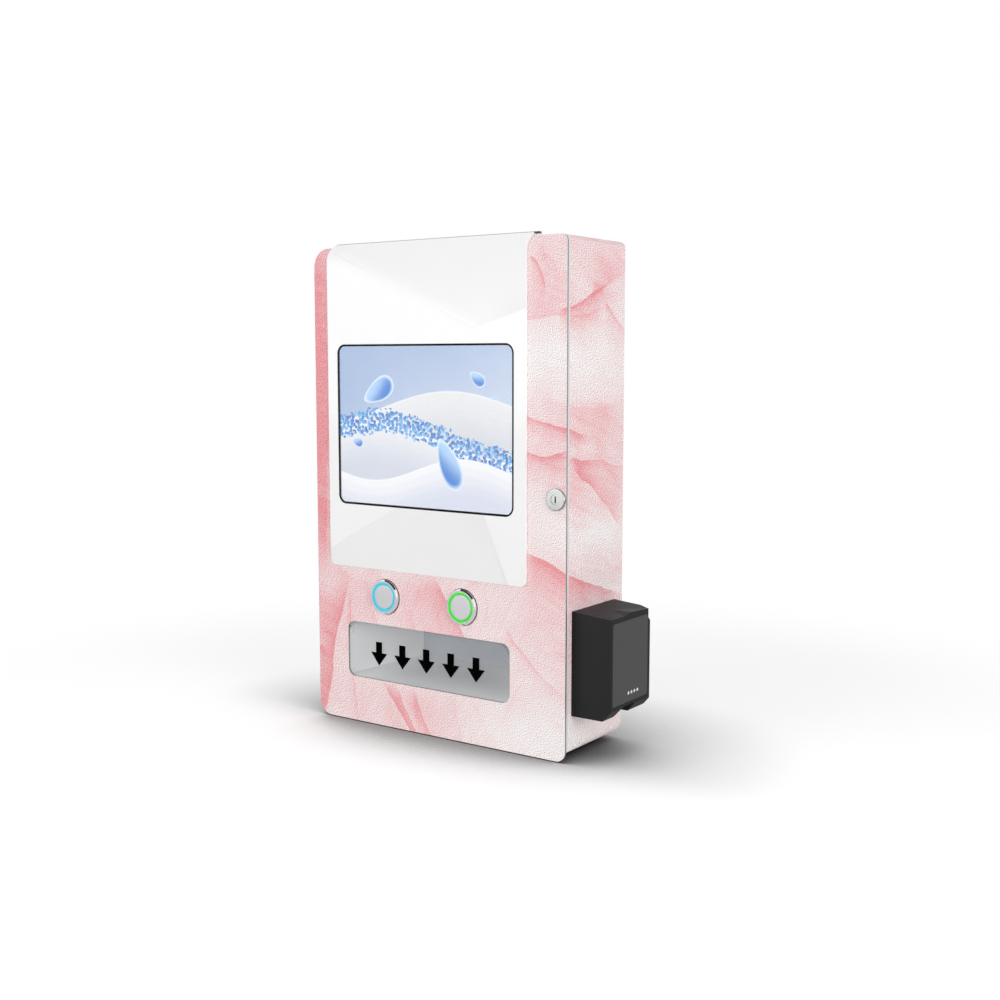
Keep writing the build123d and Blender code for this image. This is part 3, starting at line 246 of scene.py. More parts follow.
def paper_patch():
    """A soft round patch of deeper or paler tint."""
    inputs = {"Across": 0, "Up": 0, "Middle": 0, "Height": 0, "Reach": 0.05, "Rise": 0.03}
    tree, given, out = effect("paper_patch", inputs, {"Mask": "Float"})
    aside = reckon("DIVIDE", minus(given["Across"], given["Middle"]), given["Reach"])
    above = reckon("DIVIDE", minus(given["Up"], given["Height"]), given["Rise"])
    far = plus(times(aside, aside), times(above, above))
    give(out, {"Mask": reckon("EXPONENT", times(far, -1.0))})
    return tree


def paper_bands():
    """Many like folds side by side: each is crisp above and fades below, and comes and goes along its run."""
    inputs = {"Across": 0, "Up": 0, "Slope": 0, "Pitch": 0.02, "Sway": 0.6, "Seed": 0}
    tree, given, out = effect("paper_bands", inputs, {"Mask": "Float"})
    sway = noise(point(given["Across"], given["Up"], given["Seed"]), 13.0, 3.0, 0.55)
    tilted = minus(given["Up"], times(given["Across"], given["Slope"]))
    count = reckon("DIVIDE", tilted, given["Pitch"])
    count = times_plus(minus(sway, 0.5), times(given["Sway"], 9.0), count)
    band = reckon("FLOOR", count)
    below = minus(1.0, minus(count, band))
    soft = reckon("EXPONENT", times(below, -3.2))
    crisp = ease(below, 0.0, 0.07)
    there = noise(point(given["Across"], times(band, 3.7), given["Seed"]), 15.0, 1.0)
    give(out, {"Mask": times(times(soft, crisp), ease(there, 0.46, 0.68))})
    return tree


# Folds that run across, in millimetres on the unrolled sheet: start, height there, slope, bend, length,
# how far the tint fades, the side it fades to, and how strong it is.
folds_across = [
    (96, 315, -0.19, 0.0, 100, 6, -1, 0.52), (120, 331, -0.16, 0.0008, 130, 22, -1, 0.16),
    (96, 291, -0.75, 0.0115, 66, 7, -1, 0.50), (128, 283, -0.14, 0.0, 80, 14, -1, 0.10),
    (154, 279, -0.14, 0.0, 112, 6, -1, 0.32), (162, 268, -0.55, -0.0022, 104, 10, 1, 0.40),
    (150, 243, -0.50, 0.0, 90, 5, 1, 0.14), (96, 194, -0.40, 0.0005, 172, 20, -1, 0.62),
    (140, 409, 0.24, 0.0012, 80, 9, -1, 0.60), (150, 403, 0.16, 0.0, 66, 6, -1, 0.22),
    (190, 420, 0.42, 0.0, 70, 22, 1, 0.22), (214, 420, -0.72, 0.0, 46, 6, -1, 0.46),
    (92, 398, 0.10, 0.0, 64, 9, 1, 0.30), (106, 456, 0.05, -0.09, 20, 5, -1, 0.50),
    (84, 122, -1.50, 0.0085, 66, 4, -1, 0.34), (150, 329, -0.03, 0.0, 110, 6, -1, 0.12),
    (-60, 512, 0.14, -0.0006, 190, 12, -1, 0.50), (-150, 560, -0.20, 0.0010, 150, 14, -1, 0.44),
    (20, 552, -0.32, 0.0, 120, 10, 1, 0.36),
]
# Folds that run upwards: start, place across there, and the rest as before.
folds_up = [
    (-10, -147, 0.20, 0.0003, 172, 18, -1, 0.50), (-10, -93, -0.22, 0.0009, 172, 3, -1, 0.30),
    (94, 41, -0.75, 0.0020, 68, 20, -1, 0.50), (-10, -26, -0.60, -0.0020, 58, 12, 1, 0.48),
    (-10, -19, -0.50, 0.0, 58, 5, 1, -0.34), (-10, -1, -0.42, 0.0, 60, 7, -1, 0.36),
    (-10, 34, -0.18, 0.0004, 56, 8, -1, 0.14), (150, -139, 0.02, 0.0001, 340, 8, -1, 0.18),
    (60, -58, -0.30, 0.0, 100, 6, -1, 0.16),
]
# Patches: middle across, height, reach across, reach up, and how much deeper or paler.
patches = [
    (-150, 330, 26, 215, 0.62), (-15, 142, 34, 22, 0.08), (-50, 12, 14, 28, 0.10), (125, 12, 60, 36, -0.28),
    (60, 18, 40, 26, -0.12), (150, 366, 120, 30, -0.36), (128, 226, 26, 26, -0.32), (205, 205, 62, 18, -0.32),
    (200, 452, 60, 30, 0.10), (215, 300, 50, 24, 0.16), (205, 20, 64, 34, -0.19), (-100, 132, 22, 22, 0.10),
    (172, 240, 26, 22, 0.12), (180, 288, 24, 12, -0.24), (-138, 138, 16, 28, -0.14),
    (-146, 446, 20, 40, 0.12), (130, 424, 20, 26, 0.14), (126, 222, 18, 18, 0.13), (130, 362, 18, 22, 0.14),
    (122, 60, 20, 22, -0.12), (-2, 24, 20, 16, 0.12), (-92, 26, 20, 20, 0.12), (240, 236, 22, 18, 0.12),
    (132, 462, 16, 18, 0.08),
    # The paler patch at 212 across and 146 up, just above the reader, is painted light that offsets the
    # reader's shade.
    (-140, 200, 14, 26, 0.10), (212, 146, 56, 16, -0.22), (178, 236, 18, 14, -0.10),
]
paper_shades = [
    (0.0, hue(242, 238, 238)), (0.30, hue(239, 223, 223)), (0.55, hue(237, 204, 206)),
    (0.80, hue(234, 175, 179)), (1.0, hue(230, 150, 155)),
]
# Where the front turns into the sides, how far the left side's print is shifted up or down, and how the
# print wanders: the noise's scale and detail, and its swing across and up.
corner_at, left_shift = 150 * mm, -46 * mm
wanderings = ((15.0, 2.0, 14 * mm, 11 * mm), (110.0, 1.0, 1.6 * mm, 1.4 * mm))
# Between which places the print changes to its freer mix on the sides that the photograph doesn't show,
# and changes round the corners; its mean depth of pink; and how strong clouds, flecks and painted relief
# shade are.
left_hidden, top_hidden, round_part = (-152 * mm, -100 * mm), (480 * mm, 470 * mm), (90 * mm, 150 * mm)
mean_pink, cloud_share, fleck_share, relief_shade_share = 0.35, 0.26, -0.20, 1.15


def unrolled(tree):
    """The place on the unrolled sheet: how far round the corners, and how high."""
    spot = put(tree, "TexCoord").outputs
    x, y, z = from_door(spot["Object"])
    facing = parts(spot["Normal"])
    sideways = times(facing[0], facing[0])
    upwards = times(facing[2], facing[2])
    round_corner = times(reckon("SIGN", x), times(y, sideways))
    return plus(x, round_corner), plus(z, times(y, upwards))


def crepe_grain(across, up):
    """The paper's fine grain and the painted light and shade of its relief. It is stretched a little more on
    the sides and far left.
    """
    on_front = reckon("MAXIMUM", reckon("MINIMUM", across, corner_at), -corner_at)
    on_side = minus(across, on_front)
    left_part = reckon("MINIMUM", on_front, 0.0)
    grain_across = times_plus(on_side, 0.5, times(on_front, 0.88))
    grain_across = times_plus(times(left_part, left_part), 1.1, grain_across)
    sheet = point(grain_across, up)
    unshifted, grain = [
        noise(vectors("ADD", sheet, (-shift, shift, 0.0)), 820.0, 1.2, 0.6, 0.3, flat=True)
        for shift in (0.0, 0.45 * mm)]
    return grain, minus(unshifted, grain)


def crepe_print():
    """The print of the film: paler and deeper pink, folds, and the fine grain of crepe paper with painted
    light and shade on its relief.
    """
    tree, _, out = effect("crepe_print", {}, surface)
    across, up = unrolled(tree)
    sheet = point(across, up)
    left_side = reckon("LESS_THAN", across, -corner_at)
    u = times(times_plus(left_side, -2.0, 1.0), across)
    v = times_plus(left_side, left_shift, up)
    for scale, detail, swing_across, swing_up in wanderings:
        red, green, _ = in_three(noise(sheet, scale, detail, flat=True, output="Color"))
        u = times_plus(minus(red, 0.5), swing_across, u)
        v = times_plus(minus(green, 0.5), swing_up, v)
    fold, patch, bands = paper_fold(), paper_patch(), paper_bands()
    depth = mean_pink
    for rows, first, second in ((folds_across, u, v), (folds_up, v, u)):
        for start, height, slope, bend, length, fade, side, strength in rows:
            mask = use(tree, fold, {
                "Across": first, "Up": second, "Start": start * mm, "Height": height * mm, "Slope": slope,
                "Bend": bend / mm, "Length": length * mm, "Fade": fade * mm, "Side": float(side)})["Mask"]
            depth = times_plus(mask, strength, depth)
    for middle, height, reach, rise, strength in patches:
        mask = use(tree, patch, {
            "Across": u, "Up": v, "Middle": middle * mm, "Height": height * mm, "Reach": reach * mm,
            "Rise": rise * mm})["Mask"]
        depth = times_plus(mask, strength, depth)
    hidden = minus(1.0, times(ease(across, *left_hidden), ease(up, *top_hidden)))
    round_side = ease(reckon("ABSOLUTE", across), *round_part)
    for slope, pitch, sway, seed, first, second, weight in (
            (-0.28, 24, 0.5, 0.0, u, v, times_plus(hidden, 0.40, 0.16)),
            (-0.45, 11, 0.8, 5.0, u, v, times_plus(round_side, 0.10, 0.08)),
            (-0.35, 19, 0.6, 9.0, v, u, times_plus(round_side, -0.16, 0.20))):
        mask = use(tree, bands, {"Across": first, "Up": second, "Slope": slope, "Pitch": pitch * mm,
                                 "Sway": sway, "Seed": seed})["Mask"]
        depth = times_plus(mask, weight, depth)
    cloud = noise(sheet, 26.0, 4.0, 0.58, flat=True)
    depth = times_plus(minus(cloud, 0.5), cloud_share, depth)
    wavy_sheet = point(u, v)
    for lean, share in ((-17.0, times_plus(round_side, 0.26, 0.04)),
                        (62.0, times_plus(round_side, -0.22, 0.26))):
        turn = (0.0, 0.0, math.radians(-lean))
        leaned = put(tree, "Mapping", {"Vector": wavy_sheet, "Rotation": turn}).outputs[0]
        fibres = noise(vectors("MULTIPLY", leaned, (22.0, 230.0, 1.0)), 1.0, 3.0, flat=True)
        depth = times_plus(minus(fibres, 0.5), share, depth)
    # The grain's relief is painted light and shade: the grain less a shifted copy of itself.
    grain, painted_relief_shade = crepe_grain(across, up)
    tint = shades(times_plus(minus(grain, 0.5), fleck_share, depth), paper_shades)
    give(out, {"Color": scaled(tint, times_plus(painted_relief_shade, relief_shade_share, 1.0)),
               "Roughness": times_plus(grain, -0.12, 0.66), "Height": grain})
    return tree


def galvanised_sheet():
    """Zinc on sheet steel: large faint crystals, fine streaks from rolling, and a little dust."""
    inputs = {"Light": hue(204, 205, 206), "Dark": hue(160, 162, 164)}
    tree, given, out = effect("galvanised_sheet", inputs, surface)
    spot = own_place(tree)
    crystals = put(tree, "TexVoronoi", {"Vector": spot, "Scale": 130.0, "Randomness": 1.0})
    crystal = in_three(crystals.outputs["Color"])[0]
    cloud = noise(spot, 18.0, 4.0)
    streaks = noise(vectors("MULTIPLY", spot, (40.0, 40.0, 2600.0)), 1.0, 1.0)
    share = times_plus(streaks, 0.25, times_plus(crystal, 0.34, times(cloud, 0.5)))
    give(out, {"Color": blend(share, given["Dark"], given["Light"]),
               "Roughness": times_plus(crystal, 0.16, 0.34),
               "Height": times_plus(crystal, 0.4, streaks)})
    return tree


film = crepe_print()
zinc = galvanised_sheet()
film_depth, rim_highlight_depth, rim_soft = 0.25 * mm, 3.2 * mm, 0.2 * mm
turned_in_least, turned_in_more = 8 * mm, 3 * mm


def film_on_steel(name, outside, rim, rim_over_film=False):
    """Sheet steel with the printed film on the faces that the given mask picks. A second mask picks
    the rim, which has its own colour: under the film, or over it."""
    material, tree, shader = finish(name, {"Specular IOR Level": 0.3})
    printed = use(tree, film)
    bare = use(tree, zinc)
    share, at_rim = outside(tree)
    if rim_over_film:
        colour = blend(share, bare["Color"], blend(at_rim, printed["Color"], rim))
    else:
        colour = blend(share, blend(at_rim, bare["Color"], rim), printed["Color"])
    mixed = {name: between(share, bare[name], printed[name]) for name in ("Roughness", "Height")}
    cover_with(shader, {"Color": colour, **mixed}, film_depth)
    give(shader.inputs, {"Metallic": minus(1.0, share)})
    return material


def faces_away_from_middle(tree):
    """Picks the outer faces of the case. The film is turned in a little way over the rear lip."""
    spot = put(tree, "TexCoord").outputs
    low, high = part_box("case_shell")
    from_middle = vectors("SUBTRACT", spot["Object"], (low + high) / 2)
    outer = reckon("GREATER_THAN", vectors("DOT_PRODUCT", from_middle, spot["Normal"]), 0.0)
    x, _, z = parts(from_middle)
    half = (high - low) / 2
    from_side = minus(half.x, reckon("ABSOLUTE", x))
    from_top = minus(half.z, reckon("ABSOLUTE", z))
    wavy = noise(spot["Object"], 30.0, 3.0)
    turned_in = times_plus(wavy, turned_in_more, turned_in_least)
    near_rim = reckon("LESS_THAN", reckon("MINIMUM", from_side, from_top), turned_in)
    rearward = reckon("GREATER_THAN", parts(spot["Normal"])[1], 0.9)
    kept = reckon("MAXIMUM", near_rim, minus(1.0, rearward))
    starts = low.y + rim_highlight_depth
    behind_rim_highlight = ease(parts(spot["Object"])[1], starts - rim_soft, starts + rim_soft)
    return times(outer, kept), minus(1.0, behind_rim_highlight)


# The pale grey given for the rim is a painted highlight of the case's rounded front edge.
case_film = film_on_steel("case_film", faces_away_from_middle, hue(222, 220, 221), rim_over_film=True)
dress(case_film, "case_shell")

# The rear panel is plain galvanised sheet, screwed in behind the case's rear lip. The brackets,
# rails and shelf inside are cut from the same sheet.
material, tree, shader = finish("galvanised_steel", {"Metallic": 1.0})
cover_with(shader, use(tree, zinc), 0.02 * mm)
dress(material, "rear_panel", "strike_plate", "dispenser_shelf", "column_left", "column_right",
      "column_rails", "motor_bracket_left", "motor_bracket_right", "bin_stand", "reader_plate",
      "screen_clips")

# Feet, grommet and seals are moulded black rubber, matt, with a faint bloom and fine pores. The
# hard plastic parts inside and the reader use the same grain with their own colours.


def moulded_grain():
    """The fine grain of a moulding, with soft uneven patches."""
    inputs = {"Light": hue(60, 60, 62), "Dark": hue(30, 30, 32), "Fineness": 1800.0, "Roughness": 0.6}
    tree, given, out = effect("moulded_grain", inputs, surface)
    spot = own_place(tree)
    pores = noise(spot, given["Fineness"], 2.0)
    patch = noise(spot, 24.0, 3.0)
    share = times_plus(pores, 0.4, times(patch, 0.6))
    uneven = times_plus(minus(patch, 0.5), 0.18, given["Roughness"])
    give(out, {"Color": blend(share, given["Dark"], given["Light"]), "Roughness": uneven,
               "Height": pores})
    return tree


grain = moulded_grain()


def moulding(name, light, dark, fineness, roughness, depth, plain=None):
    """A moulded material with its own two shades and grain."""
    material, tree, shader = finish(name, plain)
    made = use(tree, grain, {"Light": light, "Dark": dark, "Fineness": fineness, "Roughness": roughness})
    cover_with(shader, made, depth)
    return material


black_rubber = moulding("black_rubber", hue(52, 52, 54), hue(26, 26, 28), 1500.0, 0.82, 0.04 * mm)
dress(black_rubber, "feet", "cable_grommet", "door_seal")

# The piano hinge is rolled steel strip on a drawn pin; the screws and the lock's cam are zinc-plated
# steel. All show fine lines from rolling, drawing or turning, and a light uneven tarnish.


def drawn_metal():
    """Bright metal with fine lines along one way and a light uneven tarnish."""
    inputs = {"Light": hue(205, 205, 206), "Dark": hue(160, 160, 162), "Lines": (60.0, 60.0, 3000.0),
              "Roughness": 0.3}
    tree, given, out = effect("drawn_metal", inputs, surface)
    spot = own_place(tree)
    lines = noise(vectors("MULTIPLY", spot, given["Lines"]), 1.0, 2.0)
    tarnish = noise(spot, 60.0, 4.0)
    share = times_plus(lines, 0.5, times(tarnish, 0.5))
    uneven = times_plus(minus(tarnish, 0.5), 0.2, given["Roughness"])
    give(out, {"Color": blend(share, given["Dark"], given["Light"]), "Roughness": uneven,
               "Height": lines})
    return tree


lined_metal = drawn_metal()


def bright_metal(name, light, dark, lines, roughness, depth=0.01 * mm):
    """A metal material with its own two shades and direction of its fine lines."""
    material, tree, shader = finish(name, {"Metallic": 1.0})
    made = use(tree, lined_metal, {"Light": light, "Dark": dark, "Lines": lines, "Roughness": roughness})
    cover_with(shader, made, depth)
    return material


along_z, all_ways, fine_ways = (2500.0, 2500.0, 30.0), (900.0, 900.0, 900.0), (1500.0, 1500.0, 1500.0)
hinge_steel = bright_metal("hinge_steel", hue(206, 206, 208), hue(158, 159, 162), along_z, 0.3)
dress(hinge_steel, "hinge_leaf_case", "hinge_leaf_door", "hinge_pin")
screw_steel = bright_metal("screw_steel", hue(190, 190, 186), hue(138, 138, 134), all_ways, 0.32)
dress(screw_steel, "rear_panel_screws", "foot_screws", "reader_screws", "lock_cam", "lock_cam_screw")

# The door is a flat steel plate with round corners. Its face wears the same printed film as the
# case, and its cut edges and back are bare metal.


def faces_the_front(tree):
    """Picks the door's front face by its depth, and its cut edges by the way they face."""
    spot = put(tree, "TexCoord").outputs
    cut_edge = reckon("LESS_THAN", reckon("ABSOLUTE", parts(spot["Normal"])[1]), 0.7)
    return reckon("LESS_THAN", parts(spot["Object"])[1], door_low.y + 0.1 * mm), cut_edge


dress(film_on_steel("door_film", faces_the_front, hue(158, 160, 161)), "door_panel")

# The front cover is a satin white moulding with two shallow faceted panels, above and below the
# screen. Their greyer tones, with one soft and one crisp edge each, are painted shade of the tilted
# facets; so are the grey of the cover's lower part and a thin grey line along the upper ridge.
cover_white, upper_facet_shade, lower_facet_shade = hue(249, 249, 249), hue(234, 234, 235), hue(233, 233, 233)
lower_part_shade, ridge_shade, line_black = hue(241, 241, 241), hue(228, 228, 228), hue(12, 13, 16)
lip_shades = [(0.0, hue(96, 98, 102)), (1.0, hue(12, 12, 14))]
# Corners of the panels, from the door's middle and its lower edge.
apex, upper_start, upper_end = (53 * mm, 395 * mm), (-127 * mm, 472 * mm), (107.7 * mm, 411 * mm)
low_left = ((-131 * mm, 174 * mm), (-44 * mm, 222 * mm))
low_right = ((61 * mm, 222 * mm), (89 * mm, 158 * mm))
# Between which two places each painted shade grows: the upper panel upwards, into its left corner and
# along its right fold, the lower panel from its start and towards its right edge, and the ridge to the left.
upper_climb, corner_across, corner_up = (380 * mm, 478 * mm), (-95 * mm, -131 * mm), (455 * mm, 474 * mm)
fold_across, fold_up, ridge_across = (62 * mm, 104 * mm), (440 * mm, 400 * mm), (-50 * mm, -112 * mm)
lower_up, deep_up, deep_reach = (330 * mm, 285 * mm), (165 * mm, 220 * mm), 45 * mm
# How soft the panels' edges are, and the dark line along the lip: its foot, edge, step and end.
left_soft, right_soft, low_soft, ridge_soft, apex_soft = 26 * mm, 1.2 * mm, 1.5 * mm, 1.5 * mm, 2 * mm
lip_foot, lip_edge, lip_step, lip_end = 477.2 * mm, 0.7 * mm, -1.5 * mm, (115.6 * mm, 117 * mm)
# A thin black line is printed round the screen opening: middle, half sizes and corner radius.
frame_place, frame_half, frame_round = (-11.9 * mm, 300.95 * mm), (106.7 * mm, 79.35 * mm), 9.4 * mm


def above_line(x, z, first, second, soft):
    """1 above the line through two places and 0 below it, with an edge as soft as asked."""
    slope = (second[1] - first[1]) / (second[0] - first[0])
    line = times_plus(minus(x, first[0]), slope, first[1])
    return ease(minus(z, line), -soft / 2, soft / 2)


material, tree, shader = finish("white_cover", {"Roughness": 0.42, "Specular IOR Level": 0.35})
spot = own_place(tree)
x, _, z = from_door(spot)
left_part = above_line(x, z, upper_start, apex, left_soft)
right_part = above_line(x, z, apex, upper_end, right_soft)
beside_apex = ease(x, apex[0] - apex_soft, apex[0] + apex_soft)
upper = between(beside_apex, left_part, right_part)
upper_depth = times(upper, times_plus(ease(z, *upper_climb), 0.5, 0.35))
corner = times(ease(x, *corner_across), ease(z, *corner_up))
upper_depth = times_plus(corner, 0.5, upper_depth)
fold_edge = times(times(right_part, ease(z, *fold_up)), ease(x, *fold_across))
upper_depth = times_plus(fold_edge, 0.35, upper_depth)
toned = blend(upper_depth, cover_white, upper_facet_shade)
lower_white = ease(z, *lower_up)
toned = blend(lower_white, toned, lower_part_shade)
under_left = minus(1.0, above_line(x, z, *low_left, low_soft))
low_slope = (low_right[1][0] - low_right[0][0]) / (low_right[1][1] - low_right[0][1])
right_edge = times_plus(minus(z, low_right[0][1]), low_slope, low_right[0][0])
left_of_right = ease(minus(right_edge, x), -0.5 * mm, 0.5 * mm)
lower = times(times(under_left, left_of_right), lower_white)
near_right = ease(minus(right_edge, x), deep_reach, 0.0)
deepen = times(near_right, ease(z, *deep_up))
lower = times(lower, times_plus(deepen, 0.45, 0.68))
toned = blend(lower, toned, lower_facet_shade)
at_end = ease(x, *lip_end)
top_line = ease(minus(z, times_plus(at_end, lip_step, lip_foot)), 0.0, lip_edge)
toned = blend(times(top_line, 0.9), toned, shades(at_end, lip_shades))
# A thin line of painted shade along the upper ridge tones down the ridge's highlight.
ridge_slope = (apex[1] - upper_start[1]) / (apex[0] - upper_start[0])
ridge = times_plus(minus(x, upper_start[0]), ridge_slope, upper_start[1])
off_ridge = reckon("ABSOLUTE", minus(z, ridge))
on_ridge = times(ease(off_ridge, ridge_soft, 0.0), ease(x, *ridge_across))
toned = blend(times(on_ridge, 0.5), toned, ridge_shade)
past_x, past_z = [
    minus(reckon("ABSOLUTE", minus(place, middle)), half - frame_round)
    for place, middle, half in zip((x, z), frame_place, frame_half)]
outside = vectors("LENGTH", point(reckon("MAXIMUM", past_x, 0.0), reckon("MAXIMUM", past_z, 0.0)))
inward = reckon("MINIMUM", reckon("MAXIMUM", past_x, past_z), 0.0)
off_frame = plus(outside, inward)
frame_line = ease(off_frame, frame_round + 0.1 * mm, frame_round - 0.1 * mm)
toned = blend(frame_line, toned, line_black)
haze = noise(spot, 14.0, 3.0)
toned = scaled(toned, times_plus(minus(haze, 0.5), 0.03, 1.0))
cover_with(shader, {"Color": toned, "Roughness": times_plus(haze, 0.12, 0.36),
                    "Height": noise(spot, 900.0, 2.0)}, 0.012 * mm)
dress(material, "front_cover")

# The screen: a black rubber frame, a clear cover glass, and a lit display. The display shows a calm
# generic scene of soft white dunes, a band of blue beads and a few pale drops on a light blue sky.
screen_low, screen_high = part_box("screen_glass")
screen_x, screen_z = (screen_low.x + screen_high.x) / 2, (screen_low.z + screen_high.z) / 2
half_w, half_h = (screen_high.x - screen_low.x) / 2, (screen_high.z - screen_low.z) / 2
sky_top, sky_low, sky_light = hue(154, 177, 214), hue(210, 221, 237), hue(236, 242, 250)
dune_shade, dune_rim, bead_shine, drop_rim = (
    hue(190, 200, 216), hue(252, 253, 255), hue(206, 228, 250), hue(226, 240, 253))
bead_shades = [(0.0, hue(20, 92, 184)), (0.5, hue(50, 140, 216)), (1.0, hue(122, 194, 242))]
unlit_border = 0.4 * mm

material, tree, shader = finish("display", {"Roughness": 0.5, "Emission Strength": 1.0})
spot = own_place(tree)
x, _, z = parts(vectors("SUBTRACT", spot, (screen_x, 0.0, screen_z)))
u = reckon("DIVIDE", x, half_w)
v = reckon("DIVIDE", z, half_h)
sky = blend(ease(times_plus(v, 0.34, times(u, -0.22)), -0.45, 0.5), sky_low, sky_top)
flat_spot = point(x, z)
picture = blend(times(noise(flat_spot, 9.0, 1.0, flat=True), 0.16), sky, sky_light)


def dune(picture, height, swing, pace, phase, crest, foot, reach):
    """Lays one soft dune over the picture: a curved crest, bright on top and greyer further down."""
    wave = reckon("SINE", times_plus(u, pace, phase))
    under = minus(times_plus(wave, swing, height), v)
    mask = ease(under, 0.0, 0.02)
    fade = ease(under, 0.0, reach)
    ribs = reckon("SINE", times(under, 58.0))
    tone = blend(fade, crest, foot)
    tone = blend(times_plus(ribs, 0.04, 0.05), tone, dune_shade)
    rim = times(ease(under, 0.05, 0.0), 0.6)
    return blend(mask, picture, blend(rim, tone, dune_rim)), under


def bead_band(picture, under, size, thick):
    """A band of small blue beads along a dune's crest, thinning out at both of its edges."""
    cells = put(tree_of(under), "TexVoronoi", {"Vector": flat_spot, "Scale": size}, voronoi_dimensions="2D")
    place = in_three(cells.outputs["Color"])
    inside = times(ease(under, -thick, -thick * 0.4), ease(under, thick, thick * 0.3))
    kept = reckon("LESS_THAN", place[0], times(inside, 1.3))
    bead = ease(cells.outputs["Distance"], 0.56, 0.48)
    tone = shades(place[1], bead_shades)
    shine = ease(cells.outputs["Distance"], 0.30, 0.05)
    tone = blend(times(shine, 0.35), tone, bead_shine)
    return blend(times(kept, bead), picture, tone)


def drop(picture, place, size, lean, deep, pale):
    """A pale drop: a leaning oval with a light rim and a deeper heart."""
    turn = Matrix.Rotation(math.radians(lean), 2)
    aside = minus(x, place[0] * half_w)
    above = minus(z, place[1] * half_h)
    long_way = times_plus(above, turn[0][1], times(aside, turn[0][0]))
    short_way = times_plus(above, turn[1][1], times(aside, turn[1][0]))
    long_way = reckon("DIVIDE", long_way, size[0])
    short_way = reckon("DIVIDE", short_way, size[1])
    short_way = reckon("DIVIDE", short_way, times_plus(long_way, 0.35, 1.0))
    far = reckon("SQRT", times_plus(long_way, long_way, times(short_way, short_way)))
    tone = blend(ease(minus(short_way, long_way), -0.9, 0.9), deep, pale)
    tone = blend(ease(far, 0.72, 1.0), tone, drop_rim)
    return blend(ease(far, 1.0, 0.96), picture, tone)


deep_blue, pale_blue = hue(62, 130, 212), hue(176, 210, 246)
picture = drop(picture, (0.62, 0.60), (10 * mm, 6 * mm), 35, deep_blue, pale_blue)
picture = drop(picture, (0.80, 0.34), (5 * mm, 3.4 * mm), 60, deep_blue, pale_blue)
picture, _ = dune(picture, 0.26, 0.20, 2.1, 0.9, hue(232, 232, 234), hue(208, 211, 219), 0.75)
picture, under = dune(picture, -0.16, 0.22, 2.0, 2.6, hue(236, 236, 239), hue(208, 213, 225), 0.6)
picture = bead_band(picture, under, 300.0, 0.19)
picture, _ = dune(picture, -0.52, 0.16, 2.9, 0.2, hue(244, 244, 246), hue(214, 219, 234), 0.5)
picture = drop(picture, (-0.52, 0.44), (21 * mm, 11 * mm), -28, deep_blue, pale_blue)
picture = drop(picture, (0.30, -0.44), (27 * mm, 12 * mm), 64, deep_blue, pale_blue)
picture = drop(picture, (-0.78, -0.22), (7 * mm, 4.4 * mm), 15, deep_blue, pale_blue)
on_face = reckon("LESS_THAN", parts(spot)[1], door_low.y)
inside_x = reckon("LESS_THAN", reckon("ABSOLUTE", x), half_w - unlit_border)
inside_z = reckon("LESS_THAN", reckon("ABSOLUTE", z), half_h - unlit_border)
lit = times(on_face, times(inside_x, inside_z))
bare = use(tree, zinc)
give(shader.inputs, {
    "Base Color": blend(on_face, bare["Color"], hue(14, 15, 18)), "Roughness": bare["Roughness"],
    "Metallic": minus(1.0, on_face), "Emission Color": blend(lit, (0.0, 0.0, 0.0, 1.0), picture)})
dress(material, "screen_panel")

seal_rubber = moulding("screen_frame_rubber", hue(13, 14, 17), hue(5, 6, 8), 1500.0, 0.6, 0.02 * mm,
                       {"Specular IOR Level": 0.03})
dress(seal_rubber, "screen_seal")

material, tree, shader = finish("screen_glass", {"IOR": 1.5, "Base Color": hue(240, 246, 252)})
smears = noise(own_place(tree), 30.0, 3.0)
rim_light = put(tree, "LayerWeight", {"Blend": 0.12}).outputs["Facing"]
give(shader.inputs, {"Roughness": times_plus(smears, 0.06, 0.02),
                     "Alpha": times_plus(rim_light, 0.4, 0.03)})
dress(material, "screen_glass")

# Behind the display sit its driver board on brass posts, with a processor under a heat sink, chips
# and plugs. Both circuit boards are green, with copper tracks and rows of soldered holes.


def circuit_print():
    """Green solder resist with paler tracks and bright soldered dots."""
    tree, given, out = effect("circuit_print", {"Turn": (0.0, 0.0, 0.0)}, {**surface, "Metallic": "Float"})
    turned = put(tree, "Mapping", {"Vector": own_place(tree), "Rotation": given["Turn"]}).outputs[0]
    feeds = {"Vector": turned, "Scale": 150.0, "Mortar Size": 0.06, "Mortar Smooth": 0.1, "Brick Width": 0.9,
             "Row Height": 0.3}
    tracks = put(tree, "TexBrick", feeds, offset=0.37).outputs["Fac"]
    dots = put(tree, "TexVoronoi", {"Vector": turned, "Scale": 260.0, "Randomness": 0.35}).outputs["Distance"]
    solder = ease(dots, 0.20, 0.14)
    green = blend(tracks, hue(22, 92, 58), hue(46, 128, 82))
    give(out, {"Color": blend(solder, green, hue(196, 198, 196)),
               "Roughness": times_plus(tracks, 0.12, 0.34), "Height": plus(tracks, solder),
               "Metallic": solder})
    return tree


board_print = circuit_print()
facing_front, facing_side = (math.pi / 2, 0.0, 0.0), (0.0, math.pi / 2, 0.0)
for name, turn in (("screen_board", facing_front), ("control_board", facing_side),
                   ("reader_board", facing_side)):
    material, tree, shader = finish(name + "_green")
    made = use(tree, board_print, {"Turn": turn})
    cover_with(shader, made, 0.05 * mm)
    give(shader.inputs, {"Metallic": made["Metallic"]})
    dress(material, name)
black_plastic = moulding("black_plastic", hue(58, 58, 60), hue(34, 34, 36), 2200.0, 0.5, 0.02 * mm)
dress(black_plastic, "screen_board_parts", "control_board_parts", "supply_terminals", "contact_blocks")
brass = bright_metal("brass", hue(222, 190, 116), hue(176, 138, 70), all_ways, 0.3)
dress(brass, "screen_standoffs", "control_board_posts", "pinion_left", "pinion_right")

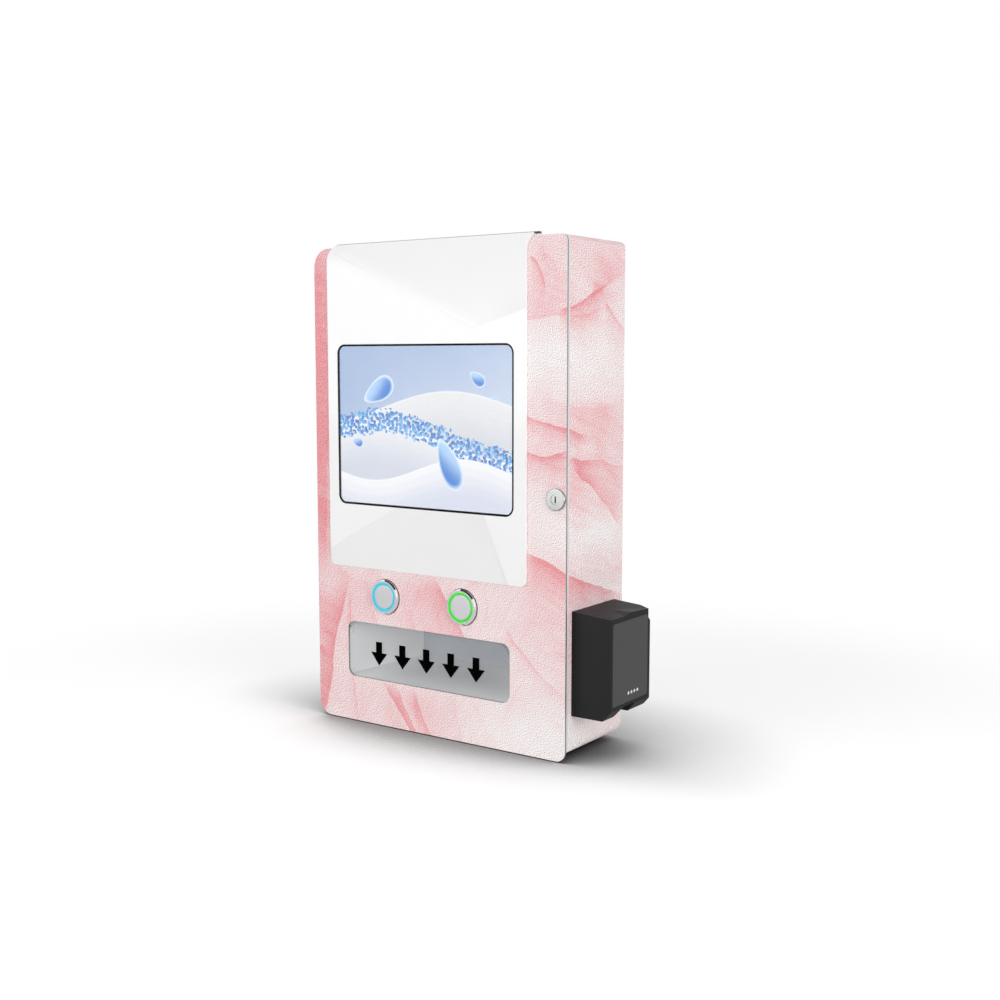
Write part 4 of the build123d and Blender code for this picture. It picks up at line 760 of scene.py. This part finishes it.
# The two push buttons: a polished steel bezel, a clear ring lit cyan or green from behind, and a
# satin cap. Ring nuts and switch blocks hold them behind the door.
polished = bright_metal("polished_steel", hue(246, 246, 247), hue(232, 232, 234), all_ways, 0.06,
                        0.001 * mm)
dress(polished, "button_bezels", "button_nuts")
satin = bright_metal("satin_steel", hue(197, 197, 200), hue(187, 187, 190), fine_ways, 0.42, 0.004 * mm)
dress(satin, "button_cap_left", "button_cap_right")
ring_inset, ring_rim = 1.1 * mm, (1.05 * mm, 1.2 * mm)


def lit_ring(name, node, bright, dim, halo):
    """A lit diffuser: strongest along its middle, paler at both rims, and uneven where its lamps sit."""
    material, tree, shader = finish(name, {"Roughness": 0.3, "Emission Strength": 0.95})
    low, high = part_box(node)
    middle, outer = (low + high) / 2, (high.x - low.x) / 2
    spot = own_place(tree)
    flat = vectors("MULTIPLY", vectors("SUBTRACT", spot, middle), (1.0, 0.0, 1.0))
    off_line = reckon("ABSOLUTE", minus(vectors("LENGTH", flat), outer - ring_inset))
    glow = blend(noise(spot, 160.0, 1.0), dim, bright)
    glow = blend(ease(off_line, *ring_rim), glow, halo)
    give(shader.inputs, {"Emission Color": glow, "Base Color": scaled(glow, 0.08)})
    return material


for name, node, bright, dim, halo in (
        ("cyan_ring", "light_ring_left", hue(52, 208, 236), hue(22, 184, 216), hue(176, 240, 250)),
        ("green_ring", "light_ring_right", hue(60, 226, 46), hue(24, 204, 16), hue(178, 246, 172))):
    dress(lit_ring(name, node, bright, dim, halo), node)

# Each button is sealed by a thin black rubber ring between its bezel and the door. Only the ring's outer
# edge shows, all round the bezel, and its black also stands in for the shade line round the bezel.
gasket_proud, gasket_depth, gasket_round = 0.45 * mm, 0.35 * mm, 0.08 * mm
bezels_low, bezels_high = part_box("button_bezels")
bezel_r = (bezels_high.z - bezels_low.z) / 2


def placed(name, data):
    """A new object of the scene, with its mesh, lamp or camera."""
    item = bpy.data.objects.new(name, data)
    bpy.context.scene.collection.objects.link(item)
    return item


def piece(name, shape, material):
    """Makes an object of a finished shape and gives it its material."""
    mesh = bpy.data.meshes.new(name)
    shape.to_mesh(mesh)
    shape.free()
    mesh.materials.append(material)
    return placed(name, mesh)


shape = bmesh.new()
for ring in ("light_ring_left", "light_ring_right"):
    low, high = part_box(ring)
    middle = Vector(((low.x + high.x) / 2, door_low.y, (low.z + high.z) / 2))
    start = middle + Vector((bezel_r - gasket_proud, 0.0, 0.0))
    verts = [shape.verts.new(start), shape.verts.new(start + Vector((0.0, -gasket_depth, 0.0)))]
    verts.append(shape.verts.new(verts[1].co + Vector((2 * gasket_proud, 0.0, 0.0))))
    verts.append(shape.verts.new(start + Vector((2 * gasket_proud, 0.0, 0.0))))
    edges = [shape.edges.new((verts[i], verts[(i + 1) % 4])) for i in range(4)]
    bmesh.ops.spin(shape, geom=verts + edges, cent=middle, axis=(0.0, 1.0, 0.0), angle=2 * math.pi, steps=64,
                   use_merge=True)
bmesh.ops.recalc_face_normals(shape, faces=shape.faces)
rims = [edge for edge in shape.edges if edge.is_manifold and edge.calc_face_angle() > 1.0]
bmesh.ops.bevel(shape, geom=rims, offset=gasket_round, affect="EDGES", segments=2, profile=0.5, material=-1)
shade_line_gaskets = piece("button_gaskets", shape, black_rubber)
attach(shade_line_gaskets, "door")

# The cam lock's barrel, core and nut are die-cast, plated and tumbled, so they are a little duller than
# the buttons. The barrel goes through the door, and the nut clamps it from behind.
plated = bright_metal("plated_casting", hue(178, 180, 179), hue(150, 153, 152), all_ways, 0.2,
                      0.0015 * mm)
dress(plated, "lock_barrel", "lock_nut", "lock_core")

# The pick-up flap is clear acrylic. Five plain black arrows, printed on its face, point down into
# the tray behind it.
material, tree, shader = finish("clear_flap", {"IOR": 1.49, "Base Color": hue(236, 240, 242)})
scuffs = noise(own_place(tree), 46.0, 4.0)
rim_light = put(tree, "LayerWeight", {"Blend": 0.2}).outputs["Facing"]
give(shader.inputs, {"Roughness": times_plus(scuffs, 0.1, 0.02),
                     "Alpha": times_plus(rim_light, 0.3, 0.04)})
dress(material, "pickup_flap")

arrow_w, arrow_h, arrow_pitch, arrows = 21 * mm, 24 * mm, 30 * mm, 5
stem_w, stem_h, ink = 8 * mm, 11 * mm, 0.06 * mm
flap_low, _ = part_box("pickup_flap")
sign_aside, sign_up = -10 * mm, 72.5 * mm
sign_middle = Vector((door_middle + sign_aside, flap_low.y, door_low.z + sign_up))
shape = bmesh.new()
for place in range(arrows):
    middle = sign_middle + Vector(((place - (arrows - 1) / 2) * arrow_pitch, 0.0, 0.0))
    shoulder = arrow_h / 2 - stem_h
    half_line = [(stem_w / 2, arrow_h / 2), (stem_w / 2, shoulder), (arrow_w / 2, shoulder)]
    line = half_line + [(0.0, -arrow_h / 2)] + [(-px, pz) for px, pz in reversed(half_line)]
    corners = [shape.verts.new(middle + Vector((px, 0.0, pz))) for px, pz in line]
    made = bmesh.ops.extrude_face_region(shape, geom=[shape.faces.new(corners)])
    moved = [item for item in made["geom"] if isinstance(item, bmesh.types.BMVert)]
    bmesh.ops.translate(shape, verts=moved, vec=(0.0, -ink, 0.0))
bmesh.ops.recalc_face_normals(shape, faces=shape.faces)
sign_ink = moulding("sign_ink", hue(6, 6, 7), hue(2, 2, 3), 2500.0, 0.8, 0.005 * mm,
                    {"Specular IOR Level": 0.0})
flap_sign = piece("flap_sign", shape, sign_ink)
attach(flap_sign, "flap")

# The tray under the opening and the flap's brackets are bent sheet with a smooth pale paint. The
# tray's rear wall, which also closes the chute, is given a darker grey as painted shade.
material, tree, shader = finish("grey_paint", {"Specular IOR Level": 0.4})
spot = own_place(tree)
scuff = noise(spot, 22.0, 5.0)
bin_low, bin_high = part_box("pickup_bin")
facing = parts(put(tree, "TexCoord").outputs["Normal"])[1]
at_rear = reckon("GREATER_THAN", parts(spot)[1], (bin_low.y + 3 * bin_high.y) / 4)
# The darker grey on the rear wall is painted shade.
rear_wall = times(reckon("LESS_THAN", facing, -0.7), at_rear)
painted = blend(scuff, hue(249, 250, 250), hue(253, 254, 254))
shaded = blend(scuff, hue(190, 194, 202), hue(200, 204, 211))
cover_with(shader, {"Color": blend(rear_wall, painted, shaded),
                    "Roughness": times_plus(scuff, 0.2, 0.4),
                    "Height": noise(spot, 700.0, 2.0)}, 0.02 * mm)
dress(material, "pickup_bin", "flap_brackets")

# The ejectors and the guides of their racks are machined white nylon; the gearmotors have a turned
# gear housing under a drawn steel can.
nylon = moulding("white_nylon", hue(240, 239, 232), hue(222, 220, 212), 1400.0, 0.46, 0.02 * mm,
                 {"Subsurface Weight": 0.1, "Subsurface Scale": 2 * mm})
dress(nylon, "ejector_left", "ejector_right", "rack_guides")
gearbox_steel = bright_metal("gearbox_steel", hue(196, 196, 200), hue(146, 147, 152), all_ways, 0.34)
dress(gearbox_steel, "gearboxes")
motor_steel = bright_metal("motor_steel", hue(170, 172, 176), hue(118, 120, 126), along_z, 0.28)
dress(motor_steel, "motors")

# The power supply inside is a closed aluminium case with vent slots. It is bead-blasted, which leaves a
# fine matt surface.
aluminium = bright_metal("blasted_aluminium", hue(206, 208, 210), hue(176, 178, 181), all_ways, 0.5,
                         0.03 * mm)
dress(aluminium, "power_supply")

# The card reader is a black moulding with a fine spark-eroded grain, and a flush front window with a
# softer gloss, given a lighter grey than the housing as painted light on the side that faces the side lamp.
reader_black = moulding("reader_black", hue(41, 41, 42), hue(28, 28, 29), 1700.0, 0.5, 0.03 * mm,
                        {"Specular IOR Level": 0.12})
dress(reader_black, "reader_housing")
reader_window_painted_light = moulding("reader_window_painted_light", hue(72, 72, 73), hue(62, 62, 63), 2400.0, 0.42, 0.01 * mm,
                         {"Specular IOR Level": 0.25})
dress(reader_window_painted_light, "reader_face")

# Four small white lights in a row show how far a payment has gone. Each is a round lens of milky plastic
# that sits nearly flush in the reader's window.
_, window_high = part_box("reader_face")
light_r, light_proud, light_pitch, lights = 1.5 * mm, 0.03 * mm, 5.5 * mm, 4
row_back, row_up = 53 * mm, 62 * mm
row_middle = Vector((window_high.x, door_low.y + row_back, door_low.z + row_up))
shape = bmesh.new()
for place in range(lights):
    spot = row_middle + Vector((0.0, (place - (lights - 1) / 2) * light_pitch, 0.0))
    turn = Matrix.Translation(spot) @ Matrix.Rotation(math.pi / 2, 4, "Y")
    bmesh.ops.create_cone(shape, cap_ends=True, segments=24, radius1=light_r, radius2=light_r,
                          depth=2 * light_proud, matrix=turn)
rims = [edge for edge in shape.edges if len(edge.link_faces) == 2 and
        all(abs(vert.co.x - window_high.x - light_proud) < light_proud / 2 for vert in edge.verts)]
bmesh.ops.bevel(shape, geom=rims, offset=light_proud / 2, affect="EDGES", segments=2, profile=0.5,
                material=-1)
light_lens = moulding("light_lens", hue(236, 238, 240), hue(206, 210, 214), 2600.0, 0.25, 0.01 * mm)
reader_lights = piece("reader_lights", shape, light_lens)
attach(reader_lights, "case")

# The stage is a white floor that fades into the white surroundings. Near the machine it carries a painted
# shadow from ambient occlusion, soft round it and deeper in front of the door, mixed with the real shadows
# of the lamps. To the machine's light it is plain white.
floor_half, shadow_reach, near_reach, far_reach = 6.0, 0.17, 0.42, 0.8
front_starts, front_full = door_low.y + 35 * mm, door_low.y - 45 * mm
hidden_power, front_deepening, front_least, beside_power = 2.6, -5.2, 0.08, 1.7
white, plain_white = (1.0, 1.0, 1.0, 1.0), (0.78, 0.78, 0.78, 1.0)
lift, glow_lift, glow_share = 1.30, 1.03, 0.4


def cleared(owner):
    """The node tree of a material or of the world, with all its nodes taken out."""
    owner.use_nodes = True
    owner.node_tree.nodes.clear()
    return owner.node_tree


def seen_directly(tree):
    """1 for rays from the camera, also through glass, and after it the marks of all kinds of rays."""
    rays = put(tree, "LightPath").outputs
    return reckon("MAXIMUM", rays["Is Camera Ray"], rays["Is Transmission Ray"]), rays


def mix_shaders(share, first, second):
    """Two shaders mixed by a share."""
    return put(tree_of(first), "MixShader", {0: share, 1: first, 2: second}).outputs[0]


shape = bmesh.new()
bmesh.ops.create_grid(shape, x_segments=1, y_segments=1, size=floor_half)
floor_white = bpy.data.materials.new("floor_white")
tree = cleared(floor_white)
# The floor's shadow is painted: ambient occlusion darkens its colour and glow near the machine.
closeness = put(tree, "AmbientOcclusion", {"Distance": shadow_reach}, samples=12).outputs["AO"]
hidden = reckon("POWER", minus(1.0, closeness), hidden_power)
in_front = reckon("MAXIMUM", times_plus(hidden, front_deepening, 1.0), front_least)
beside = reckon("POWER", closeness, beside_power)
before_door = ease(parts(own_place(tree))[1], front_starts, front_full)
painted_shadow = between(before_door, beside, in_front)
lifted = times(painted_shadow, lift)
seen_colour = put(tree, "CombineColor", {0: lifted, 1: lifted, 2: lifted}).outputs[0]
shadowed = put(tree, "BsdfDiffuse", {"Color": seen_colour}).outputs[0]
painted_shadow_glow = put(tree, "Emission", {"Color": white, "Strength": times(painted_shadow, glow_lift)}).outputs[0]
glow = put(tree, "Emission", {"Color": white, "Strength": 1.0}).outputs[0]
plain = put(tree, "BsdfDiffuse", {"Color": plain_white}).outputs[0]
far = ease(vectors("LENGTH", own_place(tree)), near_reach, far_reach)
seen, _ = seen_directly(tree)
shown = mix_shaders(far, mix_shaders(glow_share, shadowed, painted_shadow_glow), glow)
put(tree, "OutputMaterial", {"Surface": mix_shaders(seen, plain, shown)})
floor = piece("floor", shape, floor_white)

# White surroundings light the machine evenly from all sides. Where they are seen or mirrored they are
# plain white, and for all other light they are dimmer.
surroundings_dim = 0.45
world = bpy.data.worlds.new("studio")
bpy.context.scene.world = world
tree = cleared(world)
seen, rays = seen_directly(tree)
seen = reckon("MAXIMUM", seen, rays["Is Glossy Ray"])
strength = put(tree, "MapRange", {"Value": seen, "To Min": surroundings_dim, "To Max": 1.0}).outputs["Result"]
light = put(tree, "Background", {"Color": white, "Strength": strength})
put(tree, "OutputWorld", {"Surface": light.outputs[0]})

# Three soft square lamps: a key lamp in front and to the left, one to the right, and a weak one on top.
# Places and sizes are in metres, powers in watts.
lamp_size = 1.6


def lamp(name, place, aim, power):
    """A soft square lamp that faces a place."""
    data = bpy.data.lights.new(name, "AREA")
    data.shape = "SQUARE"
    data.size = lamp_size
    data.energy = power
    item = placed(name, data)
    item.location = place
    item.rotation_euler = (Vector(aim) - Vector(place)).to_track_quat("-Z", "Y").to_euler()


lamp("key_lamp", (-1.1, -2.35, 0.8), (0.0, 0.0, 0.18), 25.5)
lamp("side_lamp", (2.4, -0.8, 0.5), (0.0, 0.0, 0.2), 38.0)
lamp("top_lamp", (0.1, -0.3, 2.4), (0.0, 0.0, 0.3), 8.0)

# A matt black card, bent to an arc before the door, shows only in reflections and gives the polished
# rims their dark streak. The middle of its arc is on the door, at the height of the push buttons.
card_reach, card_half, card_up, card_steps = 1.2, 0.16, 131 * mm, 24
card_axis, card_sweep = Vector((0.376, 0.921, 0.103)), math.radians(80.0)
card_middle = Vector((door_middle, door_low.y, door_low.z + card_up))
first_way = Vector((-0.57, -0.11, 0.81)).normalized()
shape = bmesh.new()
across_band = first_way.cross(card_axis).cross(first_way).normalized()
ends = [card_middle + (first_way + across_band * side * card_half) * card_reach for side in (-1, 1)]
verts = [shape.verts.new(end) for end in ends]
bmesh.ops.spin(shape, geom=verts + [shape.edges.new(verts)], cent=card_middle, axis=card_axis,
               angle=card_sweep, steps=card_steps)
card_black = moulding("black_card", hue(70, 70, 72), hue(50, 50, 52), 100.0, 0.9, 0.01 * mm)
card = piece("black_card", shape, card_black)
card.visible_camera = card.visible_diffuse = card.visible_shadow = card.visible_transmission = False

# The camera stands where the photograph was taken from, as worked out from the door's edges: its place
# in metres, its tilt and turn in degrees, and the lens and sensor width in millimetres.
camera_place, camera_tilt, camera_turn = (0.74215, -1.0217, 0.3664), 83.82, 35.089
camera_data = bpy.data.cameras.new("photo_camera")
camera_data.lens = 46.63
camera_data.sensor_width = 36.0
camera = placed("photo_camera", camera_data)
camera.location = camera_place
camera.rotation_euler = (math.radians(camera_tilt), 0.0, math.radians(camera_turn))
bpy.context.scene.camera = camera
bpy.context.scene.view_settings.view_transform = "Standard"
